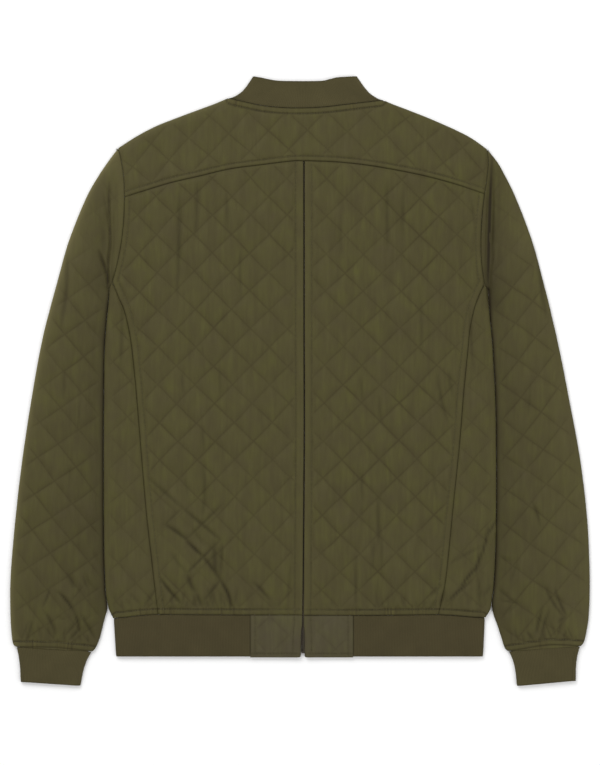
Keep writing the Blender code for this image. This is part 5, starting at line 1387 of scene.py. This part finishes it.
# ---------------------------------------------------------------- materials
class Graph:
    """Adds linked nodes to a tree."""

    def __init__(self, tree):
        self.tree = tree

    def feed(self, socket, value):
        """Link a socket to another one, or set its value."""
        if isinstance(value, bpy.types.NodeSocket):
            self.tree.links.new(value, socket)
        else:
            socket.default_value = value

    def node(self, kind, inputs=(), **settings):
        made = self.tree.nodes.new(kind)
        for key, value in settings.items():
            setattr(made, key, value)
        for key, value in dict(inputs).items():
            self.feed(made.inputs[key], value)
        return made

    def maths(self, operation, *values):
        return self.node("ShaderNodeMath", enumerate(values), operation=operation).outputs[0]

    def mix(self, share, first, second):
        made = self.node("ShaderNodeMix", data_type="RGBA")
        for index, value in ((0, share), (6, first), (7, second)):
            self.feed(made.inputs[index], value)
        return made.outputs[2]

    def layer(self, name):
        """A UV map of the piece."""
        return self.node("ShaderNodeUVMap", uv_map=name).outputs[0]

    def field(self, name):
        """A number that the mesh holds at each of its points."""
        return self.node("ShaderNodeAttribute", attribute_name=name).outputs["Fac"]

    def stretched(self, value):
        """A noise's narrow range spread over 0 to 1."""
        made = self.node("ShaderNodeMath", {0: value, 1: 2.6, 2: -0.8}, operation="MULTIPLY_ADD",
                         use_clamp=True)
        return made.outputs[0]

    def split(self, vector):
        made = self.node("ShaderNodeSeparateXYZ", {0: vector})
        return made.outputs[0], made.outputs[1]


def node_group(name, inputs, outputs):
    """An empty shader group with named float and vector sockets, and its graph and ends."""
    tree = bpy.data.node_groups.new(name, "ShaderNodeTree")
    for label, kind, value in inputs:
        socket = tree.interface.new_socket(label, in_out="INPUT", socket_type=kind)
        if value is not None:
            socket.default_value = value
    for label in outputs:
        tree.interface.new_socket(label, in_out="OUTPUT", socket_type="NodeSocketFloat")
    graph = Graph(tree)
    return graph, graph.node("NodeGroupInput").outputs, graph.node("NodeGroupOutput").inputs


def make_groups():
    """Shared effects: weave, drift of tone, stretched streaks, quilting thread and its groove shade, knit
    loops.
    """
    vector, number = "NodeSocketVector", "NodeSocketFloat"
    graph, given, out = node_group("Weave", [("Cloth", vector, None), ("Pitch", number, 0.0006)],
                                   ["Height"])
    x, y = graph.split(given["Cloth"])
    turns = graph.maths("DIVIDE", 2 * math.pi, given["Pitch"])
    warp = graph.maths("SINE", graph.maths("MULTIPLY", x, turns))
    weft = graph.maths("SINE", graph.maths("MULTIPLY", y, turns))
    graph.tree.links.new(graph.maths("MULTIPLY_ADD", graph.maths("MULTIPLY", warp, weft), 0.5, 0.5),
                         out["Height"])

    graph, given, out = node_group("Drift of Tone", [("Cloth", vector, None), ("Size", number, 0.05)],
                                   ["Tone"])
    scale = graph.maths("DIVIDE", 1.0, given["Size"])
    blotch = graph.node("ShaderNodeTexNoise", {"Vector": given["Cloth"], "Scale": scale, "Detail": 3.0,
                                               "Roughness": 0.55})
    graph.tree.links.new(graph.stretched(blotch.outputs[0]), out["Tone"])

    graph, given, out = node_group("Stretched Streaks", [("Cloth", vector, None), ("Across", number, 0.004),
                                                     ("Along", number, 0.05)], ["Height"])
    x, y = graph.split(given["Cloth"])
    stretched = graph.node("ShaderNodeCombineXYZ", {0: graph.maths("DIVIDE", x, given["Across"]),
                                                    1: graph.maths("DIVIDE", y, given["Along"])})
    streaks = graph.node("ShaderNodeTexNoise", {"Vector": stretched.outputs[0], "Scale": 1.0,
                                                "Detail": 2.0, "Roughness": 0.6})
    graph.tree.links.new(graph.stretched(streaks.outputs[0]), out["Height"])

    graph, given, out = node_group("Quilting Thread", [("Lines", vector, None),
                                                       ("Spacing", number, 0.0331),
                                                       ("Stitch", number, 0.0032),
                                                       ("Width", number, 0.0005)],
                                   ["Thread", "Groove Shade"])
    near = []
    u, w = graph.split(given["Lines"])
    for line, other in ((u, w), (w, u)):
        off = graph.maths("SUBTRACT", graph.maths("FRACT", graph.maths("ADD", line, 0.5)), 0.5)
        away = graph.maths("MULTIPLY", graph.maths("ABSOLUTE", off), given["Spacing"])
        along = graph.maths("DIVIDE", graph.maths("MULTIPLY", other, given["Spacing"]), given["Stitch"])
        dash = graph.maths("LESS_THAN", graph.maths("FRACT", along), 0.72)
        on_line = graph.maths("LESS_THAN", away, given["Width"])
        # painted shade, fading away from the stitch line
        shade = graph.maths("POWER", 2.718, graph.maths("DIVIDE", away, -0.0013))
        near.append((graph.maths("MULTIPLY", dash, on_line), shade))
    graph.tree.links.new(graph.maths("MAXIMUM", near[0][0], near[1][0]), out["Thread"])
    graph.tree.links.new(graph.maths("MAXIMUM", near[0][1], near[1][1]), out["Groove Shade"])

    graph, given, out = node_group("Knit Loops", [("Cloth", vector, None), ("Rib", number, 0.002),
                                                  ("Loop", number, 0.0013)], ["Height", "Furrow"])
    x, y = graph.split(given["Cloth"])
    rib = graph.maths("DIVIDE", x, given["Rib"])
    off = graph.maths("ABSOLUTE", graph.maths("SUBTRACT", graph.maths("FRACT", graph.maths(
        "ADD", rib, 0.5)), 0.5))
    chevron = graph.maths("ADD", graph.maths("DIVIDE", y, given["Loop"]), graph.maths("MULTIPLY", off, 1.6))
    loops = graph.maths("SINE", graph.maths("MULTIPLY", chevron, 2 * math.pi))
    graph.tree.links.new(graph.maths("MULTIPLY_ADD", loops, 0.5, 0.5), out["Height"])
    graph.tree.links.new(graph.maths("MULTIPLY", off, 2.0), out["Furrow"])


def grouped(graph, name, **inputs):
    """The outputs of a shared effect, placed in a graph."""
    made = graph.node("ShaderNodeGroup", node_tree=bpy.data.node_groups[name])
    for key, value in inputs.items():
        graph.feed(made.inputs[key], value)
    return made.outputs


def shade(value, factor):
    return (*(channel * factor for channel in value), 1.0)


def tint(value, red, green, blue):
    return (value[0] * red, value[1] * green, value[2] * blue, 1.0)


def new_material(name, roughness, sheen=0.0, specular=0.5):
    made = bpy.data.materials.new(name)
    made.use_nodes = True
    shader = made.node_tree.nodes["Principled BSDF"]
    shader.inputs["Roughness"].default_value = roughness
    shader.inputs["Sheen Weight"].default_value = sheen
    shader.inputs["Sheen Roughness"].default_value = 0.5
    shader.inputs["Specular IOR Level"].default_value = specular
    return made, Graph(made.node_tree), shader


def bump(graph, shader, layers):
    """Chain bump nodes: (height socket, distance in metres, strength)."""
    normal = None
    for height, size, strength in layers:
        made = graph.node("ShaderNodeBump", {"Height": height, "Distance": size, "Strength": strength})
        if normal is not None:
            graph.tree.links.new(normal, made.inputs["Normal"])
        normal = made.outputs[0]
    graph.tree.links.new(normal, shader.inputs["Normal"])


def shell_material(name, value):
    """Smooth woven shell: drift of tone, streaks with painted shade of fine wrinkles, quilting thread
    with painted shade in its grooves, puckers at the sewing with painted highlight and shade,
    and painted highlight and shade from the mesh's fields.
    """
    made, graph, shader = new_material(name, 0.66, 0.12, 0.15)
    shader.inputs["Sheen Roughness"].default_value = 0.25
    cloth = graph.layer("cloth")
    lines = graph.layer("quilt")
    quilted = graph.field("quilted")
    held = graph.field("shade")
    along = graph.field("along")
    ticks = graph.field("ticks")
    tone = grouped(graph, "Drift of Tone", Cloth=cloth, Size=0.045)["Tone"]
    streaks = grouped(graph, "Stretched Streaks", Cloth=cloth, Across=0.0045, Along=0.05)["Height"]
    weave = grouped(graph, "Weave", Cloth=cloth, Pitch=0.0007)["Height"]
    sewn = grouped(graph, "Quilting Thread", Lines=lines)
    fine_tone = grouped(graph, "Drift of Tone", Cloth=cloth, Size=0.014)["Tone"]
    drift = graph.maths("MULTIPLY_ADD", fine_tone, 0.35, graph.maths("MULTIPLY", tone, 0.65))
    light = graph.mix(drift, tint(value, 0.95, 0.89, 1.12), tint(value, 1.06, 1.12, 0.85))
    # Darker streaks and broad patches: painted shade of the cloth's fine vertical wrinkles; the fine
    # streaks are bumped as well.
    streaked = graph.mix(graph.maths("MULTIPLY", streaks, 0.6), light, tint(value, 0.80, 0.76, 0.78))
    broad_streaks = grouped(graph, "Stretched Streaks", Cloth=cloth, Across=0.013, Along=0.04)["Height"]
    streaked = graph.mix(graph.maths("MULTIPLY", broad_streaks, 0.55), streaked, tint(value, 0.72, 0.65, 0.78))
    # Painted shade in the quilting's grooves, beside each stitch line.
    drawn = graph.maths("MULTIPLY", graph.maths("MULTIPLY", sewn["Groove Shade"], quilted),
                        graph.maths("MULTIPLY_ADD", tone, 0.7, 0.25))
    creased = graph.mix(drawn, streaked, tint(value, 0.58, 0.50, 0.54))
    thread = graph.maths("MULTIPLY", sewn["Thread"], quilted)
    sewn_on = graph.mix(graph.maths("MULTIPLY", thread, 0.35), creased, tint(value, 0.64, 0.58, 0.6))
    # Puckers across the top-stitching: painted highlight on their ridges and painted shade between, besides
    # their bump.
    sewn_along = graph.node("ShaderNodeCombineXYZ", {0: along}).outputs[0]
    rung = grouped(graph, "Stretched Streaks", Cloth=sewn_along, Across=0.0038, Along=1.0)["Height"]
    pucker = graph.maths("MULTIPLY", rung, ticks)
    pucker_light_and_shade = graph.mix(ticks, sewn_on, graph.mix(rung, tint(value, 1.22, 1.18, 1.15),
                                                   tint(value, 0.48, 0.42, 0.45)))
    # Painted highlight: lighter and bluer where the mesh's highlight field is set.
    pale = graph.field("pale")
    with_painted_highlight = graph.mix(pale, pucker_light_and_shade, tint(value, 2.0, 1.95, 2.5))
    # Painted shade from the mesh's shade field: creases, seams, grooves and folds.
    graph.tree.links.new(graph.mix(held, with_painted_highlight, tint(value, 0.25, 0.20, 0.20)),
                         shader.inputs["Base Color"])
    bump(graph, shader, [(weave, 0.00012, 0.35), (streaks, 0.0007, 0.35), (thread, 0.0003, 0.6),
                         (graph.maths("SUBTRACT", 1.0, pucker), 0.0006, 0.5)])
    return made


def rib_material(name, value):
    made, graph, shader = new_material(name, 0.9, 0.08, 0.15)
    cloth = graph.layer("cloth")
    knit = grouped(graph, "Knit Loops", Cloth=cloth)
    tone = grouped(graph, "Drift of Tone", Cloth=cloth, Size=0.03)["Tone"]
    base = graph.mix(tone, shade(value, 0.92), shade(value, 1.08))
    # Painted shade in the knit's furrows, besides their bump.
    shaded_furrows = graph.mix(graph.maths("MULTIPLY", knit["Furrow"], 0.4), base, shade(value, 0.55))
    graph.tree.links.new(shaded_furrows, shader.inputs["Base Color"])
    bump(graph, shader, [(knit["Height"], 0.00022, 0.5)])
    return made


def plain_material(name, value, roughness, size, depth, specular=0.5):
    """A smaller part's finish: drift of tone and a fine grain on object coordinates."""
    made, graph, shader = new_material(name, roughness, 0.0, specular)
    place = graph.node("ShaderNodeTexCoord").outputs["Object"]
    tone = grouped(graph, "Drift of Tone", Cloth=place, Size=size)["Tone"]
    grain = grouped(graph, "Drift of Tone", Cloth=place, Size=size / 8)["Tone"]
    graph.tree.links.new(graph.mix(tone, shade(value, 0.8), shade(value, 1.2)),
                         shader.inputs["Base Color"])
    rough = graph.maths("MULTIPLY_ADD", grain, 0.2, roughness - 0.1)
    graph.tree.links.new(rough, shader.inputs["Roughness"])
    bump(graph, shader, [(grain, depth, 0.4)])
    return made


def tape_material(value):
    made, graph, shader = new_material("zip_tape", 0.85, 0.1, 0.3)
    cloth = graph.layer("cloth")
    weave = grouped(graph, "Weave", Cloth=cloth, Pitch=0.0009)["Height"]
    graph.tree.links.new(graph.mix(weave, shade(value, 0.8), shade(value, 1.15)),
                         shader.inputs["Base Color"])
    bump(graph, shader, [(weave, 0.0001, 0.5)])
    return made


# ---------------------------------------------------------------- operators
def stuff(name):
    """A material by name, made with the scene's colours the first time."""
    if not bpy.data.node_groups.get("Weave"):
        make_groups()
    if name in bpy.data.materials:
        return bpy.data.materials[name]
    colours = bpy.context.scene.jacket_colours
    makers = {
        "shell_cloth": lambda: shell_material("shell_cloth", tuple(colours.shell)),
        "tab_cloth": lambda: shell_material("tab_cloth", tuple(colours.tab)),
        "rib_knit": lambda: rib_material("rib_knit", tuple(colours.rib)),
        "light_rib_knit": lambda: rib_material("light_rib_knit", tuple(colours.light_rib)),
        "sewing_thread": lambda: plain_material("sewing_thread", tuple(colours.thread), 0.7, 0.006,
                                                0.0001, 0.3),
        "zip_tape": lambda: tape_material(tuple(colours.tape)),
        "zip_teeth": lambda: plain_material("zip_teeth", tuple(colours.teeth), 0.55, 0.004, 0.00005, 0.2),
    }
    return makers[name]()


def make_pair(maker, material):
    """Make a piece on the left and on the right."""
    for side in SIDES:
        maker(side, bpy.context.scene.jacket_sizes, stuff(material))
    return {"FINISHED"}


class JACKET_OT_yoke(bpy.types.Operator):
    """Back yoke, folded over both shoulders"""
    bl_idname, bl_label = "jacket.yoke", "Back Yoke"

    def execute(self, context):
        make_yoke(context.scene.jacket_sizes, stuff("shell_cloth"))
        return {"FINISHED"}


class JACKET_OT_backs(bpy.types.Operator):
    """The two quilted back panels"""
    bl_idname, bl_label = "jacket.backs", "Back Panels"

    def execute(self, context):
        return make_pair(make_back, "shell_cloth")


class JACKET_OT_sides(bpy.types.Operator):
    """The two side panels, turned under at the side edges"""
    bl_idname, bl_label = "jacket.sides", "Side Panels"

    def execute(self, context):
        return make_pair(make_side, "shell_cloth")


class JACKET_OT_fronts(bpy.types.Operator):
    """The two fronts, underneath"""
    bl_idname, bl_label = "jacket.fronts", "Fronts"

    def execute(self, context):
        return make_pair(make_front, "shell_cloth")


class JACKET_OT_sleeves(bpy.types.Operator):
    """The two sleeves, flattened tubes"""
    bl_idname, bl_label = "jacket.sleeves", "Sleeves"

    def execute(self, context):
        return make_pair(make_sleeve, "shell_cloth")


class JACKET_OT_tabs(bpy.types.Operator):
    """The two quilted hem tabs beside the back zip"""
    bl_idname, bl_label = "jacket.tabs", "Hem Tabs"

    def execute(self, context):
        return make_pair(make_tab, "tab_cloth")


class JACKET_OT_knit(bpy.types.Operator):
    """Ribbed collar, cuffs and hem bands"""
    bl_idname, bl_label = "jacket.knit", "Ribbed Knit"

    def execute(self, context):
        sizes, light_knit = context.scene.jacket_sizes, stuff("light_rib_knit")
        make_collar(sizes, light_knit)
        for side in SIDES:
            make_cuff(side, sizes, light_knit)
            make_hem(side, sizes, stuff("rib_knit"))
        return {"FINISHED"}


class JACKET_OT_zips(bpy.types.Operator):
    """Back and front zips: woven tapes and interlocked teeth"""
    bl_idname, bl_label = "jacket.zips", "Zips"

    def execute(self, context):
        sizes = context.scene.jacket_sizes
        for place in ("back", "front"):
            for side in SIDES:
                name = f"zip_{place}_tape_{side}"
                make_tape(name, side, stuff("zip_tape"))
            make_chain(f"zip_{place}_chain", sizes, stuff("zip_teeth"))
        return {"FINISHED"}


class JACKET_OT_sewing(bpy.types.Operator):
    """Top-stitching beside the seams, the zip and the hem"""
    bl_idname, bl_label = "jacket.sewing", "Top-Stitching"

    def execute(self, context):
        sizes, thread = context.scene.jacket_sizes, stuff("sewing_thread")
        objects = bpy.data.objects
        yoke_seam = np.vstack([smooth(YOKE_SEAM["left"])[::-1], smooth(YOKE_SEAM["right"])])
        stitch_rows("stitching_yoke", [beside(yoke_seam, STITCHED["yoke"], 3 * MM),
                                       beside(smooth(NECK_SEAM), -STITCHED["neck"], 6 * MM)],
                    objects["back_yoke_cloth"], sizes, thread)
        for side in SIDES:
            turn = INWARD[side]
            back_hem = smooth(HEM_SEAM[side][:HEM_PRINCESS_ROW + 1])
            side_hem = smooth(HEM_SEAM[side][HEM_PRINCESS_ROW:])
            step = np.array([-turn * PLACKET[side], 0.0])
            placket = smooth(ZIP_EDGE[side]) + step
            outer_x, zip_x, foot_x = TAB_EDGE[side]
            lines = [placket, beside(arm_parts(side)[1], turn * STITCHED["arm"], 2 * MM),
                     beside(smooth(PRINCESS[side]), turn * STITCHED["princess"], 4 * MM),
                     beside(back_hem, -turn * STITCHED["hem"], 2 * MM)]
            stitch_rows("stitching_back_" + side, lines, objects["back_" + side + "_cloth"], sizes, thread)
            stitch_rows("stitching_side_" + side,
                        [beside(side_hem, -turn * STITCHED["hem"], 3 * MM)],
                        objects["side_" + side + "_cloth"], sizes, thread)
            stitch_rows("stitching_sleeve_" + side,
                        [beside(smooth(CUFF_SEAM[side]), turn * STITCHED["cuff"], 5 * MM)],
                        objects["sleeve_" + side + "_cloth"], sizes, thread)
            x = outer_x + turn * TAB_STITCH[side]
            head, foot = back_hem[0, 1] - 1 * MM, TAB_FOOT + STITCHED["tab_foot"]
            tab_lines = [np.array([[zip_x, head], [foot_x, foot]]) + step,
                         np.array([[x, head], [x, foot]]),
                         np.array([[outer_x + turn * 2 * MM, foot], [foot_x - turn * 4 * MM, foot]])]
            stitch_rows("stitching_tab_" + side, tab_lines, objects["hem_tab_" + side + "_cloth"],
                        sizes, thread)
        return {"FINISHED"}


VIEW_UP, PILE_TOP = -1.9 * MM, 6 * MM       # the view's middle, and the height the lens is set on
PAPER_TONES = (0.96, 0.99)
FLOOR_RADIUS, FLOOR_DROP = 6.0, 0.3 * MM
LAMPS = [           # name, place, size, share of the key light's power
    ("key", (-0.9, 1.5, 1.9), 1.3, 1.0), ("fill", (1.4, -0.6, 1.8), 1.6, 0.35)]


class JACKET_OT_stage(bpy.types.Operator):
    """Camera above, pale floor, soft even light"""
    bl_idname, bl_label = "jacket.stage", "Stage"

    def execute(self, context):
        scene, settings = context.scene, context.scene.jacket_stage
        data = bpy.data.cameras.new("camera")
        data.sensor_width = 36.0
        data.lens = data.sensor_width * settings.camera_height / settings.frame_height
        data.clip_end = 50.0
        camera = bpy.data.objects.new("camera", data)
        camera.location = (0.0, VIEW_UP, settings.camera_height + PILE_TOP)
        scene.collection.objects.link(camera)
        scene.camera = camera

        bpy.ops.object.select_all(action="DESELECT")
        bpy.ops.mesh.primitive_circle_add(vertices=96, radius=FLOOR_RADIUS, fill_type="NGON",
                                          location=(0, 0, -FLOOR_DROP))
        floor = context.object
        floor.name = "floor"
        paper, graph, shader = new_material("floor_paper", 0.9, 0.0, 0.2)
        place = graph.node("ShaderNodeTexCoord").outputs["Object"]
        tone = grouped(graph, "Drift of Tone", Cloth=place, Size=0.4)["Tone"]
        greys = [(value, value, value, 1.0) for value in PAPER_TONES]
        graph.feed(shader.inputs["Base Color"], graph.mix(tone, *greys))
        floor.data.materials.append(paper)

        world = bpy.data.worlds.new("studio")
        world.use_nodes = True
        back = world.node_tree.nodes["Background"]
        back.inputs["Color"].default_value = (1.0, 1.0, 1.0, 1.0)
        back.inputs["Strength"].default_value = settings.sky
        scene.world = world
        for name, place, size, share in LAMPS:
            light = bpy.data.lights.new(name, "AREA")
            light.energy, light.size = settings.key_power * share, size
            lamp = bpy.data.objects.new(name, light)
            lamp.location = place
            lamp.rotation_euler = (-Vector(place)).to_track_quat("-Z", "Y").to_euler()
            scene.collection.objects.link(lamp)
        scene.view_settings.view_transform = "Standard"
        return {"FINISHED"}


class JACKET_PT_panel(bpy.types.Panel):
    """Lists the jacket's pieces, sizes and colours"""
    bl_label, bl_idname = "Quilted Jacket", "JACKET_PT_panel"
    bl_space_type, bl_region_type, bl_category = "VIEW_3D", "UI", "Jacket"

    def draw(self, context):
        for operator in OPERATORS:
            self.layout.operator(operator.bl_idname)
        for group in (context.scene.jacket_sizes, context.scene.jacket_colours,
                      context.scene.jacket_stage):
            box = self.layout.box()
            for key in group.__annotations__:
                box.prop(group, key)


OPERATORS = (JACKET_OT_yoke, JACKET_OT_backs, JACKET_OT_sides, JACKET_OT_fronts, JACKET_OT_sleeves,
             JACKET_OT_tabs, JACKET_OT_knit, JACKET_OT_zips, JACKET_OT_sewing, JACKET_OT_stage)
CLASSES = (JacketSizes, JacketColours, JacketStage, *OPERATORS, JACKET_PT_panel)


def register():
    for made in CLASSES:
        bpy.utils.register_class(made)
    bpy.types.Scene.jacket_sizes = PointerProperty(type=JacketSizes)
    bpy.types.Scene.jacket_colours = PointerProperty(type=JacketColours)
    bpy.types.Scene.jacket_stage = PointerProperty(type=JacketStage)


def unregister():
    del bpy.types.Scene.jacket_sizes, bpy.types.Scene.jacket_colours, bpy.types.Scene.jacket_stage
    for made in reversed(CLASSES):
        bpy.utils.unregister_class(made)


def main():
    register()
    for operator in OPERATORS:
        getattr(bpy.ops.jacket, operator.bl_idname.split(".")[1])()


if __name__ == "__main__":
    main()
